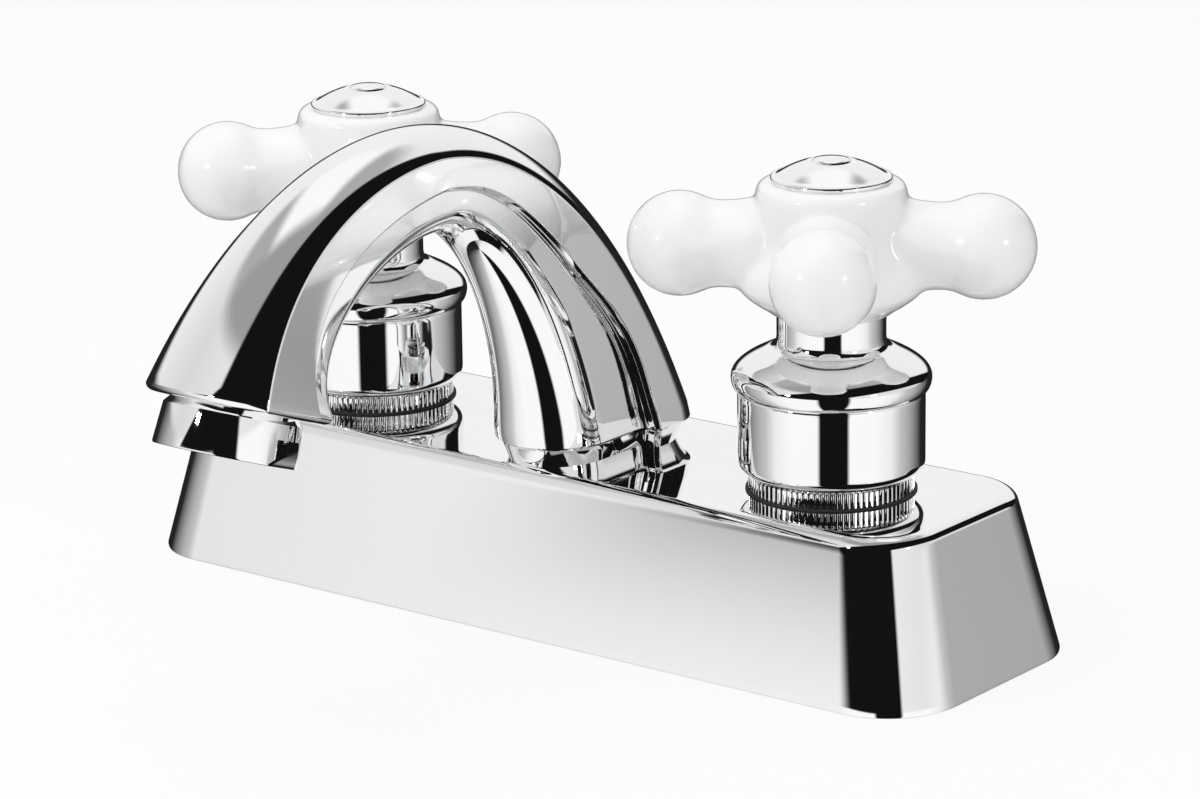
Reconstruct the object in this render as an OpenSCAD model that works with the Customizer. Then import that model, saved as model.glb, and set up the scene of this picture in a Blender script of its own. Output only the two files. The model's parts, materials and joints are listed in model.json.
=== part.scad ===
// Two-handle centreset basin tap with a fixed arched spout and porcelain cross handles.
// Origin: centre of the underside. +X runs to the cold side, the spout reaches towards -Y, +Z is up.

/* [Base] */
// Distance between the two valve centres
valve_spacing = 101.6; // [98:0.1:112]
// Length of the base at its foot
base_length = 171.8; // [166:0.2:190]
// Width of the base at its foot
base_width = 56; // [54:0.2:66]
// Height of the base
base_height = 28.6; // [27:0.1:34]
// How far each side wall leans in at the top, across the width
side_lean = 6; // [3:0.1:7]
// How far each end wall leans in at the top, along the length
end_lean = 6.8; // [4:0.1:8]
// Radius of the upright corners at the foot
corner_radius = 14; // [10:0.5:18]
// Radius of the edge round the deck
deck_edge_radius = 1.8; // [1:0.1:2.4]
// Wall of the casting
base_wall = 2.6; // [2.2:0.1:3.2]
// Thickness of the gasket under the base
gasket_thickness = 2; // [1.5:0.1:3]

/* [Spout] */
// Height of the arch above the underside of the base
spout_height = 94.3; // [92:0.1:104]
// Reach from the valve line to the front of the tip
spout_reach = 105.3; // [102:0.1:114]
// Height of the front edge of the tip
tip_height = 61.9; // [60:0.1:64]
// How far the crest lies behind the front of the tip
crest_setback = 53.6; // [51:0.1:56]
// Half width of the spout at its foot
foot_half_width = 14.4; // [13.8:0.1:15.2]
// Half width of the spout at its crest
crest_half_width = 8; // [7.6:0.1:9]
// Half width of the spout at its tip
tip_half_width = 13.2; // [13:0.1:14]
// Depth of the spout at its foot, front to back
foot_depth = 39.2; // [38:0.1:41]
// Depth of the spout at its crest
crest_depth = 18.6; // [18:0.1:20]
// How far the front of the foot stands over the front edge of the deck
foot_overhang = 0.3; // [-1:0.1:0.6]
// Height of the raised plinth under the foot
plinth_height = 4; // [3:0.1:5]
// Rise of the crowned outer face above its two edges at the foot
foot_crown = 9.6; // [8:0.1:10.5]
// Rise of the crowned outer face at the crest
crest_crown = 4.5; // [4:0.1:5]
// Rise of the crowned outer face at the tip
tip_crown = 4.8; // [4.2:0.1:5.4]
// Angle of the outlet from the vertical
outlet_angle = 20; // [17:1:23]
// Radius of the water passage through the spout
passage_radius = 4.4; // [4:0.1:4.8]

/* [Aerator] */
// Outside radius of the aerator housing at its foot
aerator_radius = 11.9; // [11.7:0.1:12]
// How much narrower the housing is at its top, on the radius
aerator_taper = 0.5; // [0:0.1:0.6]
// Length of the housing that shows below the tip
aerator_length = 8; // [7:0.1:10]
// Wall of the housing
aerator_wall = 2.2; // [2:0.1:2.6]
// Depth of each of the two wrench flats
flat_depth = 0.9; // [0.5:0.1:1.1]
// Height of each wrench flat
flat_height = 4.4; // [4:0.1:6]

/* [Bells and knurled nuts] */
// Radius of the straight part of a bell
bell_radius = 16; // [15.6:0.1:16.8]
// Radius of the rolled rim above the straight part
rim_radius = 17.1; // [17:0.1:18.4]
// Radius of the neck
neck_radius = 9.3; // [9.1:0.1:9.5]
// Height of the knurled band that shows under the bell
knurl_height = 3.3; // [2.8:0.1:4.5]
// Radius of the knurled band over its ribs
knurl_radius = 14.2; // [14:0.1:14.8]
// Number of ribs on the knurled band
knurl_ribs = 84; // [60:2:96]
// Height of the top of the neck above the deck
neck_height = 31.8; // [31.4:0.1:32.2]

/* [Handles] */
// Reach of an arm from the valve axis to its end
arm_reach = 34.6; // [32:0.1:38]
// Radius of the round end of an arm
arm_end_radius = 9; // [8.4:0.1:9.6]
// Radius of an arm at its waist
arm_waist_radius = 7.4; // [6.8:0.1:7.8]
// Radius of the hub under the cap
hub_radius = 12.8; // [12.6:0.1:13.6]
// Height of the arms' centre line above the deck
arm_height = 42.7; // [42.2:0.1:43.2]
// Height of the hub's top above the deck
hub_height = 53.9; // [53.5:0.1:54.5]
// Height of the hub's foot above the deck
hub_foot_height = 31; // [30.6:0.1:31.2]
// Radius of the cap
cap_radius = 10.3; // [9.8:0.1:10.6]
// Height of the cap's dome above its rim
cap_dome = 2.9; // [1:0.1:3.6]
// Angle of the hot handle at rest, from +X
hot_rest_angle = 43; // [0:1:89]
// Angle of the cold handle at rest, from +X
cold_rest_angle = 32; // [0:1:89]

/* [Valve] */
// Radius of the female inlet thread, bore of a half-inch pipe thread
inlet_radius = 9.3; // [8.8:0.1:9.5]
// Length of the female inlet thread
inlet_length = 9.5; // [8:0.5:10]
// Outside radius of the valve body above the deck
valve_body_radius = 12; // [12:0.1:12.3]
// Radius of the spindle
spindle_radius = 4; // [3.6:0.1:4.1]
// Radius of the ceramic discs
disc_radius = 7.1; // [6.6:0.1:7.2]
// Thickness of each ceramic disc
disc_thickness = 2.5; // [2:0.1:2.8]

/* [Fits] */
// Gap between a turning spindle and its bore, on the radius
running_gap = 0.05; // [0.03:0.01:0.09]
// Gap between pieces that are only placed or screwed together, on the radius
seat_gap = 0.1; // [0.06:0.01:0.14]
// Gap between a turning piece and the still piece round it
turning_gap = 0.3; // [0.25:0.05:0.4]

/* [Hidden] */
$fn = 96;
eps = 0.01;
hot_x = -valve_spacing / 2;
cold_x = valve_spacing / 2;

// Base and gasket
deck = base_height;
deck_underside = deck - base_wall;
hull_segments = 32;
corner_taper = 2.6;
cavity_edge_radius = 0.6;
gasket_hole_gap = 1.5;

// Valve bodies of the waterway
socket_radius = 14.5;
body_foot = 1.5;
web_bottom = body_foot + inlet_length;
web_thickness = 2;
seat_level = web_bottom + web_thickness;
seat_port_radius = 4.5;
chamber_radius = 9.5;
body_rise = 7.4;
body_top = deck + body_rise;
cross_radius = 5;
cross_bore = 3.4;
cross_depth = 9.5;
cross_level = deck_underside - cross_depth;

// Knurled nut and bell
nut_top = deck + knurl_height;
nut_collar_height = 2.6;
bell_wall = 2.4;
nut_collar_radius = bell_radius - bell_wall - seat_gap;
bell_foot_radius = 2;
bell_straight = 14.3;
bell_groove = 0.2;
rim_rise = 2.3;
shoulder_rise = 5;
neck_fillet = 1.6;
arc_steps = 6;
neck_top = deck + neck_height;
neck_wall = 1.4;
knurl_depth = 0.4;

// Headwork, from the seat upwards
seal_thickness = 2;
disc_bottom = seat_level + seal_thickness;
disc_face = disc_bottom + disc_thickness;
disc_top = disc_face + disc_thickness;
headwork_foot = seat_level + 1;
headwork_thread_radius = chamber_radius - seat_gap;
headwork_barrel_radius = chamber_radius - 0.9;
headwork_thread_foot = seat_level + 11;
window_width = 6;
window_height = 4;
disc_chamber_radius = disc_radius + turning_gap;
spindle_foot_height = 3;
washer_thickness = 1;
hex_level = body_top + washer_thickness;
hex_height = 5;
hex_across_flats = 20;
headwork_top = hex_level + hex_height + 8.5;
headwork_neck_radius = 6.6;
bore_radius = spindle_radius + running_gap;
clip_thickness = 0.8;
clip_radius = 5.6;
seal_width = 1.6;
seal_depth = 0.9;
seal_first = hex_level + 1.6;
seal_pitch = 3.4;
clip_groove = 0.8;
clip_gap = 5;

// Handle, levels above the underside of the base
arm_level = deck + arm_height;
hub_foot = deck + hub_foot_height;
hub_top = deck + hub_height;
skirt_radius = 10.3;
skirt_round = 0.3;
hub_shoulder = 1.9;
bowl_radius = hub_radius + 3.2;
bowl_level = arm_level - 6.8;
arm_root = 9.6;
arm_root_radius = 8.4;
arm_waist = 18.5;
neck_recess_radius = neck_radius + turning_gap;
neck_recess_top = neck_top + 0.8;
insert_radius = 7.2;
insert_foot = neck_recess_top - 4.6;
insert_top = hub_top - 6;
insert_flange_radius = 8.6;
insert_flange = 1.6;
spline_radius = 3.7;
spindle_top = insert_top - 4.5;
screw_head_radius = 4;
screw_head_height = 2.4;
screw_radius = 1.9;
screw_length = 9;
cap_pocket_radius = insert_flange_radius + 0.4;
cap_rim = 0.9;
cap_edge = 0.4;
cap_ring_radius = 3.2;
cap_ring_depth = 0.3;
cap_skirt_radius = cap_pocket_radius - seat_gap;
cap_skirt_wall = 1.2;
cap_skirt_height = 5;

// Spout. Each run holds its value at foot, crest and tip, then how sharply it leaves the crest
// towards the foot and towards the tip.
foot_level = deck + plinth_height;
foot_front = -(base_width / 2 - side_lean + foot_overhang);
foot_back = foot_front + foot_depth;
crest_y = crest_setback - spout_reach;
inner_crest_y = crest_y + 5.9;
inner_crest_level = spout_height - crest_depth;
tip_radius = 1.2;
tip_depth = 2 * aerator_radius + 1.7;
tip_point = [-spout_reach, tip_height];
tip_line = [cos(outlet_angle), -sin(outlet_angle)];
tip_back = tip_point + tip_depth * tip_line;
outlet_axis = tip_point + (aerator_radius + 0.2) * tip_line;
width_run = [foot_half_width, crest_half_width, tip_half_width, 2, 2.6];
crown_run = [foot_crown, crest_crown, tip_crown, 2, 2.6];
crown_turn = [84, 54, 43, 2, 2.6];
ledge_run = [3.5, 1.45, 0.9, 1.5, 1.5];
belly_run = [11.2, 5.2, 3.4, 1.5, 1.5];
passage_run = [0.68, 0.5, 0.475, 1, 1];
// Depth of the spout's side wall along its length, with a web that swells it half way up the rear
wall_depths = [[0, 17.2], [0.08, 15.9], [0.2, 13.2], [0.24, 13.4], [0.3, 14.2], [0.36, 14.4],
    [0.45, 13.7], [0.58, 12.4], [0.7, 10.9], [0.8, 10], [0.9, 9.9], [1, 10.6],
    [1.2, 11.6], [1.4, 12], [1.65, 13], [1.8, 14.6], [1.9, 16.2], [2, 18.4]];
spout_stations = 44;
face_steps = 10;
fillet_steps = 3;
belly_steps = 8;
plinth_inset = 0.9;
passage_sides = 12;
passage_stations = 24;
passage_start = 0.1;
shank_radius = 6.4;
shank_bore = 4.4;
shank_setback = 13.2;
shank_rise = 10;
shank_y = foot_front + shank_setback;
shank_foot = cross_level;
shank_top = foot_level + shank_rise;
shank_socket_radius = shank_radius + seat_gap;
boss_radius = 9;
boss_top = cross_level + cross_radius - 0.5;
boss_foot = cross_level - cross_radius;
spout_washer_thickness = 1.2;
spout_washer_radius = 9.4;
spout_nut_flats = 19;
spout_nut_height = 3.2;
spout_nut_top = deck_underside - spout_washer_thickness;
spout_seal_height = 2;
spout_seal_width = 2;

// Aerator, measured along the outlet axis from the tip's end face
aerator_thread = 5;
aerator_thread_radius = aerator_radius - 1.5;
aerator_bore = aerator_radius - aerator_wall;
aerator_chamfer = 1;
aerator_washer_thickness = 1.6;
aerator_socket_radius = aerator_thread_radius + seat_gap;
aerator_socket_depth = aerator_thread + aerator_washer_thickness;
aerator_ledge = 1.2;
aerator_ledge_width = 1;
aerator_insert_radius = aerator_bore - seat_gap;
aerator_insert_height = 7.5;
aerator_hole_radius = 0.9;
screen_thickness = 0.6;
flat_angle = 8;

// Points on an arc round a centre
function arc(centre, radius, from, to) =
    [for (i = [0 : arc_steps]) let (a = from + (to - from) * i / arc_steps)
        centre + radius * [cos(a), sin(a)]];

// Point on a cubic curve through four control points
function cubic(p, t) = pow(1 - t, 3) * p[0] + 3 * pow(1 - t, 2) * t * p[1]
    + 3 * (1 - t) * t * t * p[2] + t * t * t * p[3];

// Rounded rectangle of one level of the base, shrunk on all sides by inset
module base_level(z, inset) {
    lean = z / base_height;
    length = base_length - 2 * end_lean * lean - 2 * inset;
    width = base_width - 2 * side_lean * lean - 2 * inset;
    radius = max(1, corner_radius - inset - corner_taper * lean);
    for (x = [-1, 1], y = [-1, 1])
        translate([x * (length / 2 - radius), y * (width / 2 - radius), z])
            cylinder(h = eps, r = radius, $fn = hull_segments);
}

// Tapered block from one level to another, with its upper edge rounded
module base_block(from, to, inset, edge) {
    hull() {
        base_level(from, inset);
        base_level(to - edge, inset);
        for (angle = [30, 60, 90])
            base_level(to - edge * (1 - sin(angle)) - eps, inset + edge * (1 - cos(angle)));
    }
}

module at_valves() {
    for (x = [hot_x, cold_x])
        translate([x, 0, 0])
            children();
}

// Ring between two levels
module tube(from, to, outer, inner) {
    translate([0, 0, from])
        difference() {
            cylinder(h = to - from, r = outer);
            translate([0, 0, -1])
                cylinder(h = to - from + 2, r = inner);
        }
}

module rod(from, to, radius) {
    translate([0, 0, from])
        cylinder(h = to - from, r = radius);
}

module hexagon(from, to, across_flats) {
    translate([0, 0, from])
        cylinder(h = to - from, r = across_flats / sqrt(3), $fn = 6);
}

module base_shell() {
    color("gainsboro")
    difference() {
        base_block(0, deck, 0, deck_edge_radius);
        base_block(-1, deck_underside, base_wall, cavity_edge_radius);
        at_valves()
            rod(deck_underside - 1, deck + 1, valve_body_radius + turning_gap);
        translate([0, shank_y, 0])
            rod(deck_underside - 1, deck + 1, shank_radius + turning_gap);
    }
}

module base_gasket() {
    color("dimgray")
    difference() {
        hull() {
            base_level(0, base_wall + turning_gap);
            base_level(gasket_thickness - eps, base_wall + turning_gap);
        }
        at_valves()
            rod(-1, gasket_thickness + 1, socket_radius + gasket_hole_gap);
    }
}

// One brass casting: two valve bodies joined by a cross tube, with a boss for the spout's shank
module waterway() {
    color("darkgoldenrod")
    difference() {
        union() {
            at_valves() {
                rod(body_foot, deck_underside, socket_radius);
                rod(body_foot, body_top, valve_body_radius);
            }
            translate([hot_x, 0, cross_level])
                rotate([0, 90, 0])
                    cylinder(h = valve_spacing, r = cross_radius);
            translate([0, shank_y, 0])
                rod(boss_foot, boss_top, boss_radius);
        }
        at_valves() {
            rod(body_foot - 1, web_bottom, inlet_radius);
            rod(web_bottom - 1, seat_level + 1, seat_port_radius);
            rod(seat_level, body_top + 1, chamber_radius);
        }
        translate([hot_x + chamber_radius - 1, 0, cross_level])
            rotate([0, 90, 0])
                cylinder(h = valve_spacing - 2 * chamber_radius + 2, r = cross_bore);
        translate([0, shank_y, 0])
            rod(shank_foot, boss_top + 1, shank_socket_radius);
    }
}

// Outer line of the spout in the YZ plane, foot to crest and crest to tip
outer_rear = [[foot_back, foot_level], [foot_back - 13.2, foot_level + 37.7],
    [crest_y + 28.8, spout_height], [crest_y, spout_height]];
outer_front = [[crest_y, spout_height], [crest_y - 20.4, spout_height], tip_point + [11.4, 21.9],
    tip_point];
// Inner line of the column and the belly, with the same parameter
inner_rear = [[foot_front, foot_level], [foot_front, foot_level + 25],
    [inner_crest_y + 8, inner_crest_level], [inner_crest_y, inner_crest_level]];
inner_front = [[inner_crest_y, inner_crest_level], [inner_crest_y - 17.6, inner_crest_level],
    tip_back + [-1.8, 9], tip_back];

function outer_at(t) = t < 1 ? cubic(outer_rear, t) : cubic(outer_front, t - 1);
function inner_at(t) = t < 1 ? cubic(inner_rear, t) : cubic(inner_front, t - 1);

// Value of a run as t goes from 0 at the foot to 1 at the crest and 2 at the tip
function along(run, t) = t < 1 ? run[1] + (run[0] - run[1]) * pow(1 - t, run[3])
    : run[1] + (run[2] - run[1]) * pow(t - 1, run[4]);

// Half outline of the spout's section: x across, y measured inwards from the crown
function half_section(t, depth, inset) =
    let (w = along(width_run, t) - inset,
        rise = along(crown_run, t),
        turn = along(crown_turn, t),
        ledge = along(ledge_run, t),
        c = w - ledge,
        step = min(0.8, 0.35 * ledge),
        fillet = 0.6 * (ledge - step),
        wall = lookup(t, wall_depths) - inset,
        belly = min(along(belly_run, t), depth - inset - wall - fillet - 0.2),
        base = depth - inset)
    concat(
        [for (i = [0 : face_steps]) let (a = turn * i / face_steps)
            [w * sin(a) / sin(turn), inset + rise * (1 - cos(a)) / (1 - cos(turn))]],
        [[w, wall - step], [w - step, wall]],
        [for (i = [0 : fillet_steps]) let (a = 90 * i / fillet_steps)
            [c + fillet * (1 - sin(a)), wall + fillet * (1 - cos(a))]],
        [for (i = [0 : belly_steps]) let (a = 90 * i / belly_steps)
            [c * cos(a), base - belly + belly * sin(a)]]);

// Whole outline, once round
function section(t, depth, inset) =
    let (half = half_section(t, depth, inset), n = len(half))
    concat(half, [for (i = [n - 2 : -1 : 1]) [-half[i][0], half[i][1]]]);

// Section placed in space, on the line from the outer to the inner curve
function ring_at(t, inset, shift) =
    let (p = outer_at(t), q = inner_at(t), d = (q - p) / norm(q - p), outwards = [d[1], -d[0]])
    [for (v = section(t, norm(q - p), inset))
        let (yz = p + v[1] * d + shift * outwards) [v[0], yz[0], yz[1]]];

// Round section of the water passage, at its share of the way between the two curves
function passage_ring(t) =
    let (p = outer_at(t), q = inner_at(t), d = (q - p) / norm(q - p),
        middle = p + along(passage_run, t) * (q - p))
    [for (i = [0 : passage_sides - 1])
        let (a = 360 * i / passage_sides, yz = middle + passage_radius * sin(a) * d)
        [passage_radius * cos(a), yz[0], yz[1]]];

// Closed skin over a list of rings with equal numbers of points
module skin(rings) {
    n = len(rings[0]);
    m = len(rings);
    polyhedron(
        points = [for (ring = rings) each ring],
        faces = concat(
            [[for (i = [n - 1 : -1 : 0]) i]],
            [for (j = [0 : m - 2], i = [0 : n - 1])
                each [[j * n + i, (j + 1) * n + (i + 1) % n, (j + 1) * n + i],
                    [j * n + i, j * n + (i + 1) % n, (j + 1) * n + (i + 1) % n]]],
            [[for (i = [0 : n - 1]) (m - 1) * n + i]]),
        convexity = 6);
}

// Places its children on the outlet axis, with z = 0 at the tip's end face and -z the way the water leaves
module at_outlet() {
    translate([0, outlet_axis[0], outlet_axis[1]])
        rotate([-outlet_angle, 0, 0])
            children();
}

module spout() {
    color("gainsboro")
    difference() {
        union() {
            skin(concat([for (i = [0 : spout_stations]) ring_at(2 * i / spout_stations, 0, 0)],
                [ring_at(2, 0.3 * tip_radius, 0.7 * tip_radius), ring_at(2, tip_radius, tip_radius)]));
            translate([0, 0, deck])
                linear_extrude(plinth_height + eps)
                    offset(delta = -plinth_inset)
                        polygon([for (v = ring_at(0, 0, 0)) [v[0], v[1]]]);
        }
        skin([for (i = [0 : passage_stations])
            passage_ring(passage_start + (2 - passage_start) * i / passage_stations)]);
        translate([0, shank_y, 0]) {
            rod(deck - 1, shank_top, shank_socket_radius);
            rod(deck - 1, deck + spout_seal_height, shank_socket_radius + spout_seal_width);
        }
        at_outlet()
            rod(-tip_radius - 2, aerator_socket_depth - tip_radius, aerator_socket_radius);
    }
}

module spout_shank() {
    color("goldenrod")
    translate([0, shank_y, 0])
        tube(shank_foot, shank_top, shank_radius, shank_bore);
}

module spout_nut() {
    color("goldenrod")
    translate([0, shank_y, 0])
        difference() {
            hexagon(spout_nut_top - spout_nut_height, spout_nut_top, spout_nut_flats);
            rod(spout_nut_top - spout_nut_height - 1, deck, shank_socket_radius);
        }
}

module spout_washer() {
    color("silver")
    translate([0, shank_y, 0])
        tube(spout_nut_top, deck_underside, spout_washer_radius, shank_socket_radius);
}

module spout_seal() {
    color("black")
    translate([0, shank_y, 0])
        tube(deck, deck + spout_seal_height, shank_socket_radius + spout_seal_width - seat_gap,
            shank_socket_radius);
}

module aerator_housing() {
    foot = -tip_radius - aerator_length;
    color("gainsboro")
    at_outlet()
        difference() {
            union() {
                translate([0, 0, foot])
                    cylinder(h = aerator_length - aerator_chamfer, r1 = aerator_radius,
                        r2 = aerator_radius - aerator_taper);
                translate([0, 0, -tip_radius - aerator_chamfer])
                    cylinder(h = aerator_chamfer, r1 = aerator_radius - aerator_taper,
                        r2 = aerator_thread_radius + 0.1);
                rod(-tip_radius - 1, aerator_thread - tip_radius, aerator_thread_radius);
            }
            rod(foot + aerator_ledge, aerator_thread, aerator_bore);
            rod(foot - 1, 0, aerator_bore - aerator_ledge_width);
            for (turn = [0, 180])
                rotate([0, 0, flat_angle + turn])
                    translate([aerator_radius - flat_depth, -aerator_radius, foot - 1])
                        cube([2 * flat_depth, 2 * aerator_radius, flat_height + 1]);
        }
}

// Small round holes on two circles and one in the middle
module spray_holes(from, to, radius) {
    rod(from, to, radius);
    for (circle = [1, 2], i = [0 : 6 * circle - 1])
        rotate([0, 0, 60 * i / circle])
            translate([circle * aerator_insert_radius * 0.38, 0, 0])
                rod(from, to, radius);
}

module aerator_insert() {
    foot = -tip_radius - aerator_length + aerator_ledge;
    color("whitesmoke")
    at_outlet()
        difference() {
            rod(foot, foot + aerator_insert_height, aerator_insert_radius);
            spray_holes(foot - 1, foot + aerator_insert_height + 1, aerator_hole_radius);
        }
}

module aerator_screen() {
    foot = -tip_radius - aerator_length + aerator_ledge + aerator_insert_height;
    color("silver")
    at_outlet()
        difference() {
            rod(foot, foot + screen_thickness, aerator_insert_radius);
            spray_holes(foot - 1, foot + screen_thickness + 1, aerator_hole_radius);
        }
}

module aerator_washer() {
    color("black")
    at_outlet()
        tube(aerator_thread - tip_radius, aerator_socket_depth - tip_radius, aerator_thread_radius,
            aerator_bore - 1);
}

// Nut on the valve body: a knurled band on the deck and a plain collar inside the bell
module knurled_nut() {
    difference() {
        union() {
            translate([0, 0, deck])
                linear_extrude(knurl_height)
                    polygon([for (i = [0 : 2 * knurl_ribs - 1]) let (a = 180 * i / knurl_ribs,
                        r = knurl_radius - (i % 2) * knurl_depth) r * [cos(a), sin(a)]]);
            rod(deck, nut_top + nut_collar_height, nut_collar_radius);
        }
        rod(deck - 1, nut_top + nut_collar_height + 1, valve_body_radius + seat_gap);
    }
}

groove_level = nut_top + bell_straight;
rim_level = groove_level + rim_rise;
bell_inner_radius = bell_radius - bell_wall;
shoulder_end = [neck_radius + neck_fillet, rim_level + shoulder_rise];
shoulder = [[rim_radius, rim_level], [rim_radius, rim_level + 0.4 * shoulder_rise],
    [rim_radius - 2.7, rim_level + 0.7 * shoulder_rise], shoulder_end];

// Half outline of the bell, from the foot up the outside and down the inside
bell_outline = concat(
    [[bell_inner_radius, nut_top]],
    arc([bell_radius - bell_foot_radius, nut_top + bell_foot_radius], bell_foot_radius, -90, 0),
    [[bell_radius, groove_level - bell_groove], [bell_radius - bell_groove, groove_level]],
    [for (i = [1 : 5]) [bell_radius - bell_groove + (rim_radius - bell_radius + bell_groove) * sin(15 * i),
        groove_level + rim_rise * (1 - cos(15 * i))]],
    [for (i = [0 : 8]) cubic(shoulder, i / 8)],
    [for (i = [1 : arc_steps]) let (a = -90 - 90 * i / arc_steps)
        shoulder_end + [neck_fillet * cos(a), 1.4 * neck_fillet * (1 + sin(a))]],
    [[neck_radius, neck_top - 0.4], [neck_radius - 0.4, neck_top], [neck_radius - neck_wall, neck_top],
        [neck_radius - neck_wall, rim_level + shoulder_rise - 1.8], [bell_inner_radius, rim_level - 0.5]]);

module bell() {
    rotate_extrude()
        polygon(bell_outline);
}

// Screwed body that holds the discs and guides the spindle
module headwork() {
    difference() {
        union() {
            rod(headwork_foot, headwork_thread_foot, headwork_barrel_radius);
            rod(headwork_thread_foot, hex_level, headwork_thread_radius);
            hexagon(hex_level, hex_level + hex_height, hex_across_flats);
            rod(hex_level, headwork_top, headwork_neck_radius);
        }
        rod(headwork_foot - 1, disc_top + spindle_foot_height + 0.4, disc_chamber_radius);
        rod(headwork_foot, headwork_top + 1, bore_radius);
        for (turn = [0, 90])
            rotate([0, 0, turn])
                translate([-chamber_radius, -window_width / 2, disc_face + 0.4])
                    cube([2 * chamber_radius, window_width, window_height]);
    }
}

module headwork_washer() {
    tube(body_top, hex_level, valve_body_radius, headwork_thread_radius + seat_gap);
}

module seat_seal() {
    tube(seat_level, disc_bottom, disc_radius, seat_port_radius);
}

// Ceramic disc with two opposite ports
module disc(level) {
    difference() {
        rod(level, level + disc_thickness, disc_radius);
        for (turn = [45, 225])
            rotate([0, 0, turn])
                translate([disc_radius / 2, 0, 0])
                    rod(level - 1, level + disc_thickness + 1, disc_radius / 3);
    }
}

module spindle() {
    difference() {
        union() {
            rod(disc_top, disc_top + spindle_foot_height, disc_radius);
            rod(disc_top, insert_foot, spindle_radius);
            rod(insert_foot - 1, spindle_top, spline_radius);
        }
        for (i = [0, 1])
            translate([0, 0, seal_first + i * seal_pitch])
                tube(0, seal_width, spindle_radius + 1, spindle_radius - seal_depth);
        tube(headwork_top + turning_gap, headwork_top + turning_gap + clip_thickness, spindle_radius + 1,
            spindle_radius - clip_groove);
        rod(spindle_top - screw_length, spindle_top + 1, screw_radius + seat_gap);
    }
}

module spindle_seals() {
    for (i = [0, 1])
        translate([0, 0, seal_first + i * seal_pitch])
            tube(0.1, seal_width - 0.1, spindle_radius, spindle_radius - seal_depth);
}

// Open spring clip in the groove above the headwork
module spindle_clip() {
    difference() {
        tube(headwork_top + turning_gap, headwork_top + turning_gap + clip_thickness, clip_radius,
            spindle_radius - clip_groove);
        translate([0, -clip_gap / 2, headwork_top])
            cube([clip_radius + 1, clip_gap, 3]);
    }
}

// Half outline of the hub of the handle, with its bore, neck recess and cap pocket
hub_outline = concat(
    [[neck_recess_radius, hub_foot]],
    arc([skirt_radius - skirt_round, hub_foot + skirt_round], skirt_round, -90, -20),
    [for (i = [1 : 5]) cubic([[skirt_radius, hub_foot + 0.4], [skirt_radius + 1.6, hub_foot + 1.5],
        [bowl_radius - 1.2, bowl_level - 2], [bowl_radius, bowl_level]], i / 5)],
    [for (i = [1 : 6]) cubic([[bowl_radius, bowl_level], [bowl_radius + 1, bowl_level + 4],
        [hub_radius + 0.4, bowl_level + 6], [hub_radius, bowl_level + 10]], i / 6)],
    arc([hub_radius - hub_shoulder, hub_top - hub_shoulder], hub_shoulder, 0, 90),
    [[cap_pocket_radius, hub_top], [cap_pocket_radius, insert_top - insert_flange],
        [insert_radius + seat_gap, insert_top - insert_flange], [insert_radius + seat_gap, neck_recess_top],
        [neck_recess_radius, neck_recess_top]]);

arm_end = arm_reach - arm_end_radius;
blend_angle = 115;
blend_point = [arm_end + arm_end_radius * cos(blend_angle), arm_end_radius * sin(blend_angle)];

// Half outline of one arm, from inside the hub out to its round end
arm_outline = concat(
    [[arm_root, 0], [arm_root, arm_root_radius]],
    [for (i = [1 : 5]) cubic([[arm_root, arm_root_radius], [arm_root + 4, arm_root_radius - 0.4],
        [arm_waist - 3, arm_waist_radius], [arm_waist, arm_waist_radius]], i / 5)],
    [for (i = [1 : 5]) cubic([[arm_waist, arm_waist_radius], [arm_waist + 1.4, arm_waist_radius],
        blend_point - [1.2, 0.56], blend_point], i / 6)],
    [for (i = [0 : 12]) let (a = blend_angle * (1 - i / 12))
        [arm_end + arm_end_radius * cos(a), arm_end_radius * sin(a)]]);

module handle() {
    rotate_extrude()
        polygon(hub_outline);
    for (turn = [0 : 90 : 270])
        rotate([0, 0, turn])
            translate([0, 0, arm_level])
                rotate([0, 90, 0])
                    rotate_extrude($fn = 64)
                        polygon([for (v = arm_outline) [v[1], v[0]]]);
}

module handle_insert() {
    difference() {
        union() {
            rod(insert_foot, insert_top, insert_radius);
            rod(insert_top - insert_flange, insert_top, insert_flange_radius);
        }
        rod(insert_foot - 1, spindle_top + turning_gap, spline_radius + seat_gap);
        rod(insert_foot, insert_top + 1, screw_radius + seat_gap);
    }
}

module handle_screw() {
    difference() {
        union() {
            rod(insert_top - screw_length, insert_top, screw_radius);
            rod(insert_top, insert_top + screw_head_height, screw_head_radius);
        }
        for (turn = [0, 90])
            rotate([0, 0, turn])
                translate([-screw_head_radius / 2, -0.5, insert_top + screw_head_height - 1.2])
                    cube([screw_head_radius, 1, 2]);
    }
}

module cap() {
    dome_radius = (pow(cap_radius - cap_edge, 2) + pow(cap_dome, 2)) / (2 * cap_dome);
    dome_angle = asin((cap_radius - cap_edge) / dome_radius);
    rotate_extrude()
        polygon(concat(
            [[0, hub_top], [cap_skirt_radius - cap_skirt_wall, hub_top],
                [cap_skirt_radius - cap_skirt_wall, hub_top - cap_skirt_height],
                [cap_skirt_radius, hub_top - cap_skirt_height], [cap_skirt_radius, hub_top],
                [cap_radius, hub_top]],
            arc([cap_radius - cap_edge, hub_top + cap_rim - cap_edge], cap_edge, 0, 90),
            [for (i = [1 : 2 * arc_steps])
                let (a = dome_angle * (1 - i / 2 / arc_steps), r = dome_radius * sin(a),
                    dip = abs(r - cap_ring_radius) < 0.6 ? cap_ring_depth : 0)
                [r, hub_top + cap_rim + cap_dome - dome_radius * (1 - cos(a)) - dip]]));
}

module on_hot(angle = 0) {
    translate([hot_x, 0, 0])
        rotate([0, 0, angle])
            children();
}

module on_cold(angle = 0) {
    translate([cold_x, 0, 0])
        rotate([0, 0, angle])
            children();
}

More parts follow.
